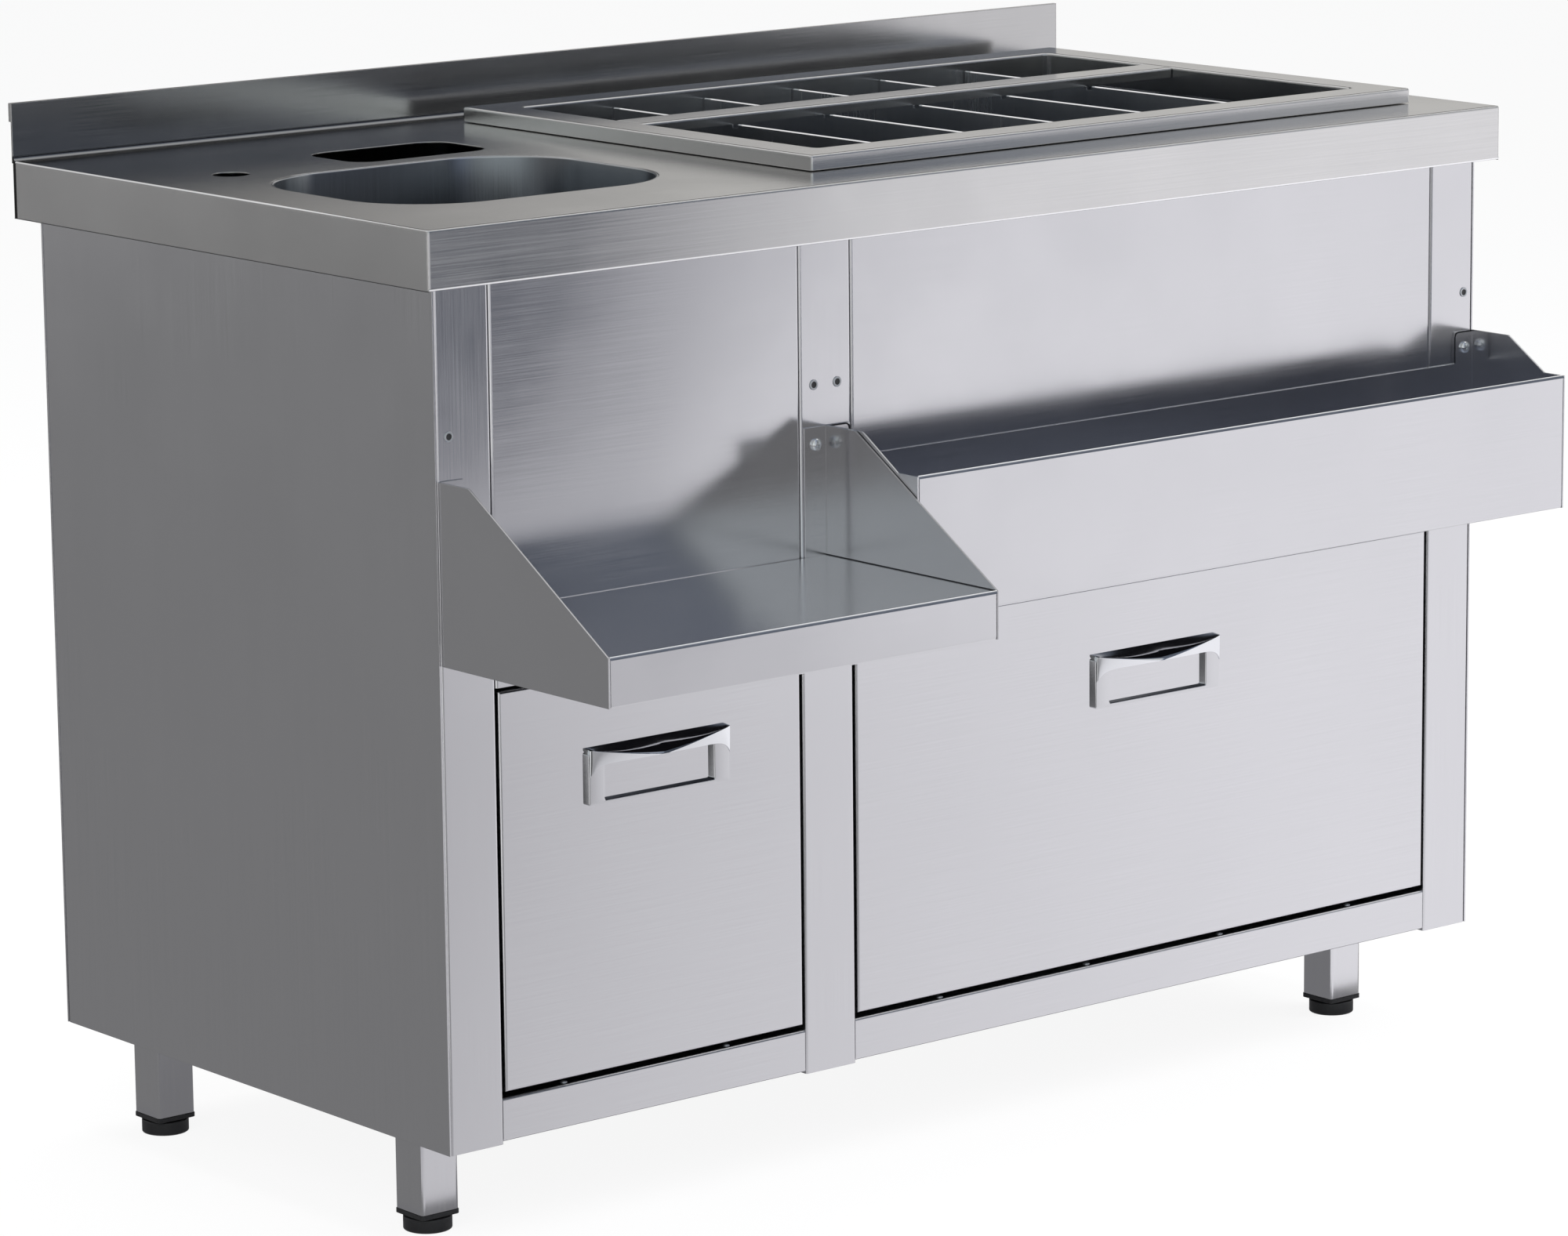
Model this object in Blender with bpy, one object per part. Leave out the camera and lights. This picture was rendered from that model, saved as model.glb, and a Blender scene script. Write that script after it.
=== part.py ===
"""Stainless bar station: worktop with sink and divided well, two drawers, side shelf and bottle rail.

Metres, +X to the user's right, +Y to the back, +Z up. The origin is on the floor, in the middle
of the plan box that reaches from the shelf's front edge to the back of the splash-back's hem.
"""

import math

import bmesh
import bpy
from mathutils import Vector

# Sheet metal
SHEET = 0.0015
FOLD_RADIUS = 0.0006
FOLD_STEPS = 3
SEAT_GAP = 0.0003
SEAM = 0.0008
WELD_BITE = 0.0005

# Worktop
WORKTOP_WIDTH = 1.200
WORKTOP_DEPTH = 0.600
WORKTOP_HEIGHT = 0.8575
FASCIA_HEIGHT = 0.0485
FASCIA_RETURN = 0.012
EDGE_RADIUS = 0.002
SPLASH_HEIGHT = 0.050
SPLASH_FILLET = 0.004
HEM_HEIGHT = 0.016
HEM_THICKNESS = 0.003
TAP_HOLE_DIAMETER = 0.032
TAP_HOLE_FROM_LEFT = 0.087
TAP_HOLE_FROM_FRONT = 0.397
SLOT_LENGTH = 0.145
SLOT_WIDTH = 0.085
SLOT_CORNER = 0.023
SLOT_FROM_LEFT = 0.2075
SLOT_FROM_FRONT = 0.381

# Sink bowl and its drain
SINK_LENGTH = 0.302
SINK_WIDTH = 0.248
SINK_CORNER = 0.084
SINK_FROM_LEFT = 0.0605
SINK_FROM_FRONT = 0.1105
SINK_DEPTH = 0.160
SINK_FLOOR_RADIUS = 0.030
SINK_FLOOR_FALL = 0.006
SINK_FLANGE = 0.010
DRAIN_RADIUS = 0.026
DRAIN_FLANGE = 0.012
DRAIN_FLANGE_THICKNESS = 0.0018
DRAIN_WALL = 0.002
DRAIN_TAIL = 0.060
STRAINER_DEPTH = 0.006
STRAINER_HOLE_RADIUS = 0.0035
STRAINER_HOLES = 8
STRAINER_RING_INSET = 0.0105

# Divided well
WELL_LENGTH = 0.633
WELL_FROM_FRONT = 0.1055
WELL_FROM_BACK = 0.0795
WELL_CORNER = 0.006
WELL_RIM = 0.0365
WELL_RIM_HEIGHT = 0.0139
WELL_SKIRT_GAP = 0.0009
WELL_LIP = 0.025
WELL_DEPTH = 0.180
WELL_FLOOR_RADIUS = 0.005
WELL_FLANGE = 0.008
WELL_OPENING_CLEARANCE = 0.001
CROSSBAR_FROM_WELL_FRONT = 0.240
CROSSBAR_WIDTH = 0.036
CROSSBAR_HEIGHT = 0.0098
CROSSBAR_END_GAP = 0.001
CROSSBAR_SEAT_LENGTH = 0.012
CROSSBAR_SEAT_THICKNESS = 0.003
COMPARTMENTS = 6
DIVIDER_DROP = 0.0095
DIVIDER_END_GAP = 0.0015
DIVIDER_FLOOR_GAP = 0.005
DIVIDER_NOTCH_DEPTH = 0.003
DIVIDER_NOTCH_SIDE = 0.005
TONGUE_CLEARANCE = 0.001

# Cabinet
SIDE_OVERHANG = 0.015
FRONT_OVERHANG = 0.0166
BACK_OVERHANG = 0.019
CABINET_BOTTOM = 0.0977
POST_WIDTH = 0.055
POST_DEPTH = 0.030
MIDDLE_POST_FROM_LEFT = 0.4183
SIDE_PANEL_FLANGE = 0.020
FRONT_PANEL_RETURN = 0.020
BASE_FLANGE = 0.015
BASE_RAIL_HEIGHT = 0.0367
BASE_RAIL_RECESS = 0.001
BASE_RAIL_TOP_RETURN = 0.015
BASE_RAIL_LAP = 0.025

# Legs and levelling feet
LEG_SIZE = 0.038
LEG_WALL = 0.0015
LEG_CORNER = 0.003
LEG_SIDE_INSET = 0.0407
LEG_FRONT_INSET = 0.0961
LEG_BACK_INSET = 0.0404
CAP_THICKNESS = 0.0036
CAP_OVERHANG = 0.0007
CAP_PLUG_LENGTH = 0.018
FOOT_RADIUS = 0.0206
FOOT_HEIGHT = 0.0118
FOOT_CHAMFER = 0.0014
FOOT_NECK_RADIUS = 0.009
FOOT_NECK_HEIGHT = 0.0011
STUD_RADIUS = 0.005
STUD_LENGTH = 0.060

# Drawers and telescopic runners
DRAWER_HEIGHT = 0.3335
DRAWER_BOTTOM_GAP = 0.005
DRAWER_TOP_GAP = 0.0032
DRAWER_SIDE_GAP = 0.003
DRAWER_FRONT_THICKNESS = 0.018
DRAWER_FRONT_RETURN = 0.025
DRAWER_BOX_HEIGHT = 0.240
DRAWER_BOX_DEPTH = 0.500
DRAWER_BOX_CORNER = 0.003
DRAWER_BOX_FLOOR_ABOVE_FRONT = 0.018
RUNNER_LENGTH = 0.500
RUNNER_HEIGHT = 0.045
RUNNER_WIDTH = 0.0127
RUNNER_SHEET = 0.0012
RUNNER_PLAY = 0.0004
RUNNER_SETBACK = 0.002
RUNNER_TIP_GAP = 0.001
RUNNER_ABOVE_BOX_FLOOR = 0.080

# Drawer handles
HANDLE_WIDTH = 0.147
HANDLE_HEIGHT = 0.0475
HANDLE_DEPTH = 0.0085
HANDLE_FROM_DRAWER_TOP = 0.0585
HANDLE_SIDE_BORDER = 0.016
HANDLE_BOTTOM_BORDER = 0.0032
HANDLE_TOP_BORDER = 0.006
HOOD_REACH = 0.019
HOOD_HEIGHT = 0.0145
HOOD_CHEEK_HEIGHT = 0.023
HOOD_WALL = 0.0016
HOOD_REACH_POWER = 6
HOOD_CHEEK_POWER = 12
HOOD_LONG_STEPS = 20
HOOD_ROUND_STEPS = 6

# Shelf and bottle rail, hung on the posts at the same height
FITTING_BOTTOM = 0.5035
FITTING_TOP = 0.6530
SHELF_DEPTH = 0.2168
SHELF_LIP = 0.040
SHELF_LIP_RETURN = 0.012
SHELF_BACK_FLANGE = 0.025
SHELF_EAR_TOP = 0.040
SHELF_INSET_FROM_SIDE = 0.0022
RAIL_DEPTH = 0.1160
RAIL_WALL_HEIGHT = 0.1205
RAIL_EAR_TOP = 0.0465
RAIL_EAR_SHOULDER = 0.0245
FITTING_SPACING = 0.0006
TAB_WIDTH = 0.0245

# Roundness of turned and cornered pieces
ROUND_STEPS = 24
HOLE_STEPS = 12
CORNER_STEPS = 10
SMALL_CORNER_STEPS = 2
SMOOTH_ANGLE = math.radians(35.0)

# Places that follow from the driving dimensions
SHELF_REACH = SHELF_DEPTH + SEAT_GAP - FRONT_OVERHANG
WORKTOP_FRONT = (SHELF_REACH - WORKTOP_DEPTH - HEM_THICKNESS) / 2
WORKTOP_BACK = WORKTOP_FRONT + WORKTOP_DEPTH
WORKTOP_LEFT = -WORKTOP_WIDTH / 2
UNDERSIDE = WORKTOP_HEIGHT - SHEET
CABINET_TOP = UNDERSIDE - SEAT_GAP
CABINET_LEFT = WORKTOP_LEFT + SIDE_OVERHANG
CABINET_RIGHT = -CABINET_LEFT
CABINET_FRONT = WORKTOP_FRONT + FRONT_OVERHANG
CABINET_BACK = WORKTOP_BACK - BACK_OVERHANG
BACK_PANEL_INNER = CABINET_BACK - SHEET
SIDE_PANEL_BACK = BACK_PANEL_INNER - SEAT_GAP
INNER_BACK = SIDE_PANEL_BACK - SHEET - SEAT_GAP
BEHIND_POSTS = CABINET_FRONT + POST_DEPTH + SEAT_GAP
MIDDLE_POST = WORKTOP_LEFT + MIDDLE_POST_FROM_LEFT
BASE_TOP = CABINET_BOTTOM + SHEET
STANDING_HEIGHT = BASE_TOP + SEAT_GAP
BASE_RAIL_TOP = STANDING_HEIGHT + BASE_RAIL_HEIGHT
DRAWER_BOTTOM = BASE_RAIL_TOP + DRAWER_BOTTOM_GAP
DRAWER_TOP = DRAWER_BOTTOM + DRAWER_HEIGHT
FRONT_PANEL_BOTTOM = DRAWER_TOP + DRAWER_TOP_GAP
BAYS = {
    "left": (CABINET_LEFT + POST_WIDTH, MIDDLE_POST - POST_WIDTH / 2),
    "right": (MIDDLE_POST + POST_WIDTH / 2, CABINET_RIGHT - POST_WIDTH),
}
WELL_WIDTH = WORKTOP_DEPTH - WELL_FROM_FRONT - WELL_FROM_BACK
WELL_CENTRE = (
    (MIDDLE_POST + CABINET_RIGHT) / 2,
    WORKTOP_FRONT + WELL_FROM_FRONT + WELL_WIDTH / 2,
)
RIM_TOP = WORKTOP_HEIGHT + WELL_RIM_HEIGHT
TUB_TOP = RIM_TOP - WELL_LIP - SEAT_GAP
CROSSBAR_FRONT = WELL_CENTRE[1] - WELL_WIDTH / 2 + CROSSBAR_FROM_WELL_FRONT
SINK_CENTRE = (
    WORKTOP_LEFT + SINK_FROM_LEFT + SINK_LENGTH / 2,
    WORKTOP_FRONT + SINK_FROM_FRONT + SINK_WIDTH / 2,
)
CAP_BOTTOM = FOOT_HEIGHT + FOOT_NECK_HEIGHT + SEAT_GAP
LEG_BOTTOM = CAP_BOTTOM + CAP_THICKNESS + SEAT_GAP
FITTING_BACK = CABINET_FRONT - SEAT_GAP

FINISHES = {
    "worktop_steel": ((0.62, 0.60, 0.58), 0.28, 1.0),
    "panel_steel": ((0.64, 0.64, 0.66), 0.32, 1.0),
    "inner_steel": ((0.52, 0.53, 0.55), 0.38, 1.0),
    "polished_chrome": ((0.80, 0.80, 0.82), 0.06, 1.0),
    "zinc_steel": ((0.60, 0.62, 0.65), 0.40, 1.0),
    "black_plastic": ((0.015, 0.015, 0.016), 0.45, 0.0),
}


def finish_for(node, finish):
    """A node's own material, from its finish's colour, roughness and metallic value."""
    colour, roughness, metallic = FINISHES[finish]
    material = bpy.data.materials.new(node + "_" + finish)
    material.use_nodes = True
    shader = material.node_tree.nodes["Principled BSDF"]
    shader.inputs["Base Color"].default_value = (*colour, 1.0)
    shader.inputs["Roughness"].default_value = roughness
    shader.inputs["Metallic"].default_value = metallic
    return material


def place(node, solid, finish, origin=(0.0, 0.0, 0.0), parent=None):
    """Puts a solid, given in world places, into a named object whose origin is where it is said."""
    bmesh.ops.translate(solid, vec=-Vector(origin), verts=solid.verts)
    bmesh.ops.recalc_face_normals(solid, faces=solid.faces)
    mesh = bpy.data.meshes.new(node)
    solid.to_mesh(mesh)
    solid.free()
    mesh.shade_smooth()
    mesh.set_sharp_from_angle(angle=SMOOTH_ANGLE)
    mesh.materials.append(finish_for(node, finish))
    thing = bpy.data.objects.new(node, mesh)
    bpy.context.collection.objects.link(thing)
    thing.parent = parent
    base = parent.location if parent else Vector((0.0, 0.0, 0.0))
    thing.location = Vector(origin) - base
    return thing


def carrier(name, at):
    """An empty on a moving body's axis, which the body's pieces are parented to."""
    empty = bpy.data.objects.new(name, None)
    empty.location = at
    bpy.context.collection.objects.link(empty)
    return empty


def rounded_rectangle(centre, length, width, radius, steps, side_steps=1):
    """Plan outline of a rectangle with round corners, counter-clockwise, its sides split in equal steps."""
    arcs = []
    corners = ((1, 1, 0), (-1, 1, 1), (-1, -1, 2), (1, -1, 3))
    for along, across, quarter in corners:
        middle_x = centre[0] + along * (length / 2 - radius)
        middle_y = centre[1] + across * (width / 2 - radius)
        angles = [(quarter + step / steps) * math.pi / 2 for step in range(steps + 1)]
        arcs.append([(middle_x + radius * math.cos(a), middle_y + radius * math.sin(a)) for a in angles])
    points = []
    for arc, following in zip(arcs, arcs[1:] + arcs[:1]):
        points += arc
        start, end = Vector(arc[-1]), Vector(following[0])
        points += [tuple(start.lerp(end, step / side_steps)) for step in range(1, side_steps)]
    return points


def circle(centre, radius, steps=ROUND_STEPS):
    """Plan outline of a circle, counter-clockwise."""
    turns = [2 * math.pi * step / steps for step in range(steps)]
    return [(centre[0] + radius * math.cos(t), centre[1] + radius * math.sin(t)) for t in turns]


def circle_facing(outline, centre, radius):
    """The circle's points that lie straight between its centre and each point of an outline."""
    points = []
    for x, y in outline:
        angle = math.atan2(y - centre[1], x - centre[0])
        points.append((centre[0] + radius * math.cos(angle), centre[1] + radius * math.sin(angle)))
    return points


def level(outline, height):
    """A plan outline at a height."""
    return [Vector((x, y, height)) for x, y in outline]


def loft(rings, closed=False):
    """Skins a row of rings of equal count. Its ends are capped, or joined where it is closed."""
    solid = bmesh.new()
    loops = [[solid.verts.new(point) for point in ring] for ring in rings]
    pairs = list(zip(loops, loops[1:]))
    if closed:
        pairs.append((loops[-1], loops[0]))
    for lower, upper in pairs:
        count = len(lower)
        for index in range(count):
            following = (index + 1) % count
            solid.faces.new((lower[index], lower[following], upper[following], upper[index]))
    if not closed:
        solid.faces.new(loops[0])
        solid.faces.new(loops[-1])
    return solid


def extrude(outline, axis, start, end):
    """A prism of a closed outline. The outline's plane is YZ, XZ or XY for the axis x, y or z."""
    placed = {
        "x": lambda u, v, depth: Vector((depth, u, v)),
        "y": lambda u, v, depth: Vector((u, depth, v)),
        "z": lambda u, v, depth: Vector((u, v, depth)),
    }[axis]
    return loft([[placed(u, v, depth) for u, v in outline] for depth in (start, end)])


def box(low, high):
    """A block between two opposite corners."""
    outline = [(low[0], low[1]), (high[0], low[1]), (high[0], high[1]), (low[0], high[1])]
    return extrude(outline, "z", low[2], high[2])


def turned(centre, profile):
    """A solid of revolution about a vertical axis, from its radii and heights."""
    return loft([level(circle(centre, radius), height) for radius, height in profile])


def folded(path, thickness, radius=FOLD_RADIUS):
    """Outline of a folded sheet. The path is one face, with the metal on its left, bent at each corner."""
    points = [Vector(point) for point in path]
    runs = [(after - before).normalized() for before, after in zip(points, points[1:])]
    lefts = [Vector((-run.y, run.x)) for run in runs]
    face = [points[0]]
    back = [points[0] + lefts[0] * thickness]
    for corner, run, left, onward in zip(points[1:-1], runs, lefts, runs[1:]):
        turn = math.atan2(run.x * onward.y - run.y * onward.x, run.dot(onward))
        side = math.copysign(1.0, turn)
        face_radius = radius + thickness if turn > 0 else radius
        start = corner - run * face_radius * math.tan(abs(turn) / 2)
        middle = start + left * side * face_radius
        for step in range(FOLD_STEPS + 1):
            swing = turn * step / FOLD_STEPS
            normal = Vector((
                left.x * math.cos(swing) - left.y * math.sin(swing),
                left.x * math.sin(swing) + left.y * math.cos(swing),
            ))
            face.append(middle - normal * side * face_radius)
            back.append(face[-1] + normal * thickness)
    face.append(points[-1])
    back.append(points[-1] + lefts[-1] * thickness)
    return [(point.x, point.y) for point in face + back[::-1]]


def mirrored(outline, about=0.0):
    """An outline reflected left to right."""
    return [(2 * about - x, y) for x, y in reversed(outline)]


def working_object(solids):
    """A passing object that holds solids which don't meet each other."""
    gathered = bmesh.new()
    for solid in solids:
        bmesh.ops.recalc_face_normals(solid, faces=solid.faces)
        mesh = bpy.data.meshes.new("working_mesh")
        solid.to_mesh(mesh)
        solid.free()
        gathered.from_mesh(mesh)
        bpy.data.meshes.remove(mesh)
    mesh = bpy.data.meshes.new("working_mesh")
    gathered.to_mesh(mesh)
    gathered.free()
    thing = bpy.data.objects.new("working_shape", mesh)
    bpy.context.collection.objects.link(thing)
    return thing


def combine(solid, tools, operation):
    """Joins tools to a solid, or cuts them from it, in one step. The tools don't meet each other."""
    body = working_object([solid])
    tool = working_object(tools)
    modifier = body.modifiers.new("combine", "BOOLEAN")
    modifier.operation = operation
    modifier.solver = "EXACT"
    modifier.object = tool
    bpy.context.view_layer.update()
    result = bmesh.new()
    result.from_mesh(body.evaluated_get(bpy.context.evaluated_depsgraph_get()).to_mesh())
    for thing in (body, tool):
        mesh = thing.data
        bpy.data.objects.remove(thing, do_unlink=True)
        bpy.data.meshes.remove(mesh)
    return result


def joined(solid, *tools):
    """The solid with the tools welded on."""
    return combine(solid, tools, "UNION")


def cut(solid, *tools):
    """The solid with the tools cut away."""
    return combine(solid, tools, "DIFFERENCE")


def worktop():
    """The worktop pan: folded-down edges, welded corners, an upstand with a hem, and four cut-outs."""
    bottom = WORKTOP_HEIGHT - FASCIA_HEIGHT
    right = -WORKTOP_LEFT
    centre = (0.0, (WORKTOP_FRONT + WORKTOP_BACK) / 2)

    def around(inset, height):
        outline = rounded_rectangle(
            centre, WORKTOP_WIDTH - 2 * inset, WORKTOP_DEPTH - 2 * inset, EDGE_RADIUS, SMALL_CORNER_STEPS,
        )
        return level(outline, height)

    rings = []
    for step in range(FOLD_STEPS + 1):
        angle = step / FOLD_STEPS * math.pi / 2
        inset = EDGE_RADIUS * (1 - math.sin(angle))
        rings.append(around(inset, WORKTOP_HEIGHT - EDGE_RADIUS * (1 - math.cos(angle))))
    rings.append(around(0.0, bottom))
    rings.append(around(SHEET + FASCIA_RETURN, bottom))
    rings.append(around(SHEET + FASCIA_RETURN, bottom + SHEET))
    rings.append(around(SHEET, bottom + SHEET))
    rings.append(around(SHEET, UNDERSIDE))
    splash_top = WORKTOP_HEIGHT + SPLASH_HEIGHT
    splash_face = WORKTOP_BACK - SHEET
    fillet = [
        (
            splash_face - SPLASH_FILLET * (1 - math.sin(step / FOLD_STEPS * math.pi / 2)),
            WORKTOP_HEIGHT + SPLASH_FILLET * (1 - math.cos(step / FOLD_STEPS * math.pi / 2)),
        )
        for step in range(FOLD_STEPS + 1)
    ]
    splash = extrude(
        [(splash_face - SPLASH_FILLET, UNDERSIDE)] + fillet + [
            (splash_face, splash_top),
            (WORKTOP_BACK + HEM_THICKNESS, splash_top),
            (WORKTOP_BACK + HEM_THICKNESS, splash_top - HEM_HEIGHT),
            (WORKTOP_BACK, splash_top - HEM_HEIGHT),
            (WORKTOP_BACK, UNDERSIDE),
        ],
        "x", WORKTOP_LEFT, right,
    )
    slot_centre = (
        WORKTOP_LEFT + SLOT_FROM_LEFT + SLOT_LENGTH / 2,
        WORKTOP_FRONT + SLOT_FROM_FRONT + SLOT_WIDTH / 2,
    )
    tap_hole = (WORKTOP_LEFT + TAP_HOLE_FROM_LEFT, WORKTOP_FRONT + TAP_HOLE_FROM_FRONT)
    room = 2 * (SHEET + WELL_OPENING_CLEARANCE)
    openings = [
        rounded_rectangle(SINK_CENTRE, SINK_LENGTH, SINK_WIDTH, SINK_CORNER, CORNER_STEPS),
        rounded_rectangle(slot_centre, SLOT_LENGTH, SLOT_WIDTH, SLOT_CORNER, CORNER_STEPS),
        circle(tap_hole, TAP_HOLE_DIAMETER / 2),
        rounded_rectangle(
            WELL_CENTRE, WELL_LENGTH + room, WELL_WIDTH + room, WELL_CORNER, SMALL_CORNER_STEPS,
        ),
    ]
    holes = [extrude(hole, "z", UNDERSIDE - SHEET, WORKTOP_HEIGHT + SHEET) for hole in openings]
    return joined(cut(loft(rings), *holes), splash)


def basin(centre, size, corner, steps, top, depth, floor_radius, fall, flange, drain_at):
    """A pressed bowl of one sheet: flange, upright wall, round floor edge and a drain hole."""

    def outline(grown):
        radius = max(corner + grown, WELD_BITE)
        length, width = (side + 2 * grown for side in size)
        return rounded_rectangle(centre, length, width, radius, steps, side_steps=steps)

    def floor_edge(radius, step):
        angle = step / FOLD_STEPS * math.pi / 2
        inward = radius * math.cos(angle) - floor_radius
        return level(outline(inward), floor + floor_radius - radius * math.sin(angle))

    floor = top - depth
    low = floor - fall
    land = circle_facing(outline(-floor_radius), drain_at, DRAIN_RADIUS + DRAIN_FLANGE + SEAM)
    lands = [land] if fall else []
    bends = range(FOLD_STEPS + 1)
    inside = [level(ring, low) for ring in lands]
    inside += [floor_edge(floor_radius, step) for step in reversed(bends)]
    inside += [level(outline(0.0), top), level(outline(flange), top)]
    outside = [level(outline(flange), top - SHEET), level(outline(SHEET), top - SHEET)]
    outside += [floor_edge(floor_radius + SHEET, step) for step in bends]
    outside += [level(ring, low - SHEET) for ring in lands]
    hole = extrude(circle(drain_at, DRAIN_RADIUS), "z", low - 2 * SHEET, low + SHEET)
    return cut(loft(inside + outside), hole)


def drain(centre, seat):
    """A flanged waste: a strainer cup with a ring of holes, open into the tail pipe below."""
    bore = DRAIN_RADIUS - SEAT_GAP - DRAIN_WALL
    outer = DRAIN_RADIUS - SEAT_GAP
    top = seat + SEAT_GAP + DRAIN_FLANGE_THICKNESS
    plate = top - STRAINER_DEPTH
    foot = top - DRAIN_TAIL
    cup = turned(centre, [
        (bore, plate), (bore, top), (DRAIN_RADIUS + DRAIN_FLANGE, top - DRAIN_FLANGE_THICKNESS / 2),
        (DRAIN_RADIUS + DRAIN_FLANGE, seat + SEAT_GAP), (outer, seat + SEAT_GAP), (outer, foot),
        (bore, foot), (bore, plate - DRAIN_WALL),
    ])
    ring = circle(centre, bore - STRAINER_RING_INSET, STRAINER_HOLES)
    holes = [
        extrude(circle(at, STRAINER_HOLE_RADIUS, HOLE_STEPS), "z", plate - 2 * DRAIN_WALL, top)
        for at in ring
    ]
    return cut(cup, *holes)


def well_frame():
    """The raised rim of the well: skirt, flat top and inner lip, with a welded seat for each crossbar end."""

    def around(grown, height, radius):
        outline = rounded_rectangle(
            WELL_CENTRE, WELL_LENGTH + 2 * grown, WELL_WIDTH + 2 * grown, radius, SMALL_CORNER_STEPS,
        )
        return level(outline, height)

    skirt_foot = WORKTOP_HEIGHT + WELL_SKIRT_GAP
    lip_foot = RIM_TOP - WELL_LIP
    inner_corner = WELL_CORNER
    outer_corner = EDGE_RADIUS
    bends = [step / FOLD_STEPS * math.pi / 2 for step in range(FOLD_STEPS + 1)]
    rings = [around(0.0, lip_foot, inner_corner)]
    for angle in reversed(bends):
        grown = EDGE_RADIUS * (1 - math.sin(angle))
        rings.append(around(grown, RIM_TOP - EDGE_RADIUS * (1 - math.cos(angle)), inner_corner))
    for angle in bends:
        grown = WELL_RIM - EDGE_RADIUS * (1 - math.sin(angle))
        rings.append(around(grown, RIM_TOP - EDGE_RADIUS * (1 - math.cos(angle)), outer_corner))
    rings.append(around(WELL_RIM, skirt_foot, outer_corner))
    rings.append(around(WELL_RIM - SHEET, skirt_foot, outer_corner))
    rings.append(around(WELL_RIM - SHEET, RIM_TOP - SHEET, outer_corner))
    rings.append(around(SHEET, RIM_TOP - SHEET, inner_corner))
    rings.append(around(SHEET, lip_foot, inner_corner))
    frame = loft(rings, closed=True)
    seat_top = RIM_TOP - SHEET - SEAT_GAP
    seat_front = CROSSBAR_FRONT + SHEET + TONGUE_CLEARANCE
    seat_back = CROSSBAR_FRONT + CROSSBAR_WIDTH - SHEET - TONGUE_CLEARANCE
    seats = []
    for side in (-1, 1):
        wall = WELL_CENTRE[0] + side * WELL_LENGTH / 2
        ends = sorted((wall + side * WELD_BITE, wall - side * CROSSBAR_SEAT_LENGTH))
        seats.append(box(
            (ends[0], seat_front, seat_top - CROSSBAR_SEAT_THICKNESS), (ends[1], seat_back, seat_top),
        ))
    return joined(frame, *seats)


def crossbar():
    """The well's crossbar: an upturned channel that rests on the rim's two seats."""
    front = CROSSBAR_FRONT
    back = CROSSBAR_FRONT + CROSSBAR_WIDTH
    foot = RIM_TOP - CROSSBAR_HEIGHT
    half = WELL_LENGTH / 2 - CROSSBAR_END_GAP
    outline = folded([(back, foot), (back, RIM_TOP), (front, RIM_TOP), (front, foot)], SHEET)
    return extrude(outline, "x", WELL_CENTRE[0] - half, WELL_CENTRE[0] + half)


def divider(number):
    """A sheet divider, notched for the crossbar's edges, with a tongue up inside its channel."""
    pitch = WELL_LENGTH / COMPARTMENTS
    left = WELL_CENTRE[0] - WELL_LENGTH / 2 + number * pitch - SHEET / 2
    well_front = WELL_CENTRE[1] - WELL_WIDTH / 2 + DIVIDER_END_GAP
    well_back = WELL_CENTRE[1] + WELL_WIDTH / 2 - DIVIDER_END_GAP
    top = RIM_TOP - DIVIDER_DROP
    notch = min(top, RIM_TOP - CROSSBAR_HEIGHT) - DIVIDER_NOTCH_DEPTH
    tongue = RIM_TOP - SHEET - SEAT_GAP
    foot = TUB_TOP - WELL_DEPTH + DIVIDER_FLOOR_GAP
    bar_front = CROSSBAR_FRONT
    bar_back = CROSSBAR_FRONT + CROSSBAR_WIDTH
    inside = SHEET + TONGUE_CLEARANCE
    front_half = [
        (well_front, foot), (well_front, top), (bar_front - DIVIDER_NOTCH_SIDE, top),
        (bar_front - DIVIDER_NOTCH_SIDE, notch), (bar_front + inside, notch), (bar_front + inside, tongue),
    ]
    back_half = [
        (bar_back - inside, tongue), (bar_back - inside, notch), (bar_back + DIVIDER_NOTCH_SIDE, notch),
        (bar_back + DIVIDER_NOTCH_SIDE, top), (well_back, top), (well_back, foot),
    ]
    return extrude(front_half + back_half, "x", left, left + SHEET)


def side_panel_outline():
    """Plan of the left side panel, with its back edge folded in."""
    path = [
        (CABINET_LEFT + SIDE_PANEL_FLANGE, SIDE_PANEL_BACK),
        (CABINET_LEFT, SIDE_PANEL_BACK),
        (CABINET_LEFT, CABINET_FRONT),
    ]
    return folded(path, SHEET)


def channel_outline(left, right, depth):
    """Plan of an upright front channel, its face at the cabinet's front and its edges folded back."""
    path = [
        (left, CABINET_FRONT + depth), (left, CABINET_FRONT),
        (right, CABINET_FRONT), (right, CABINET_FRONT + depth),
    ]
    return folded(path, SHEET)


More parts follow.
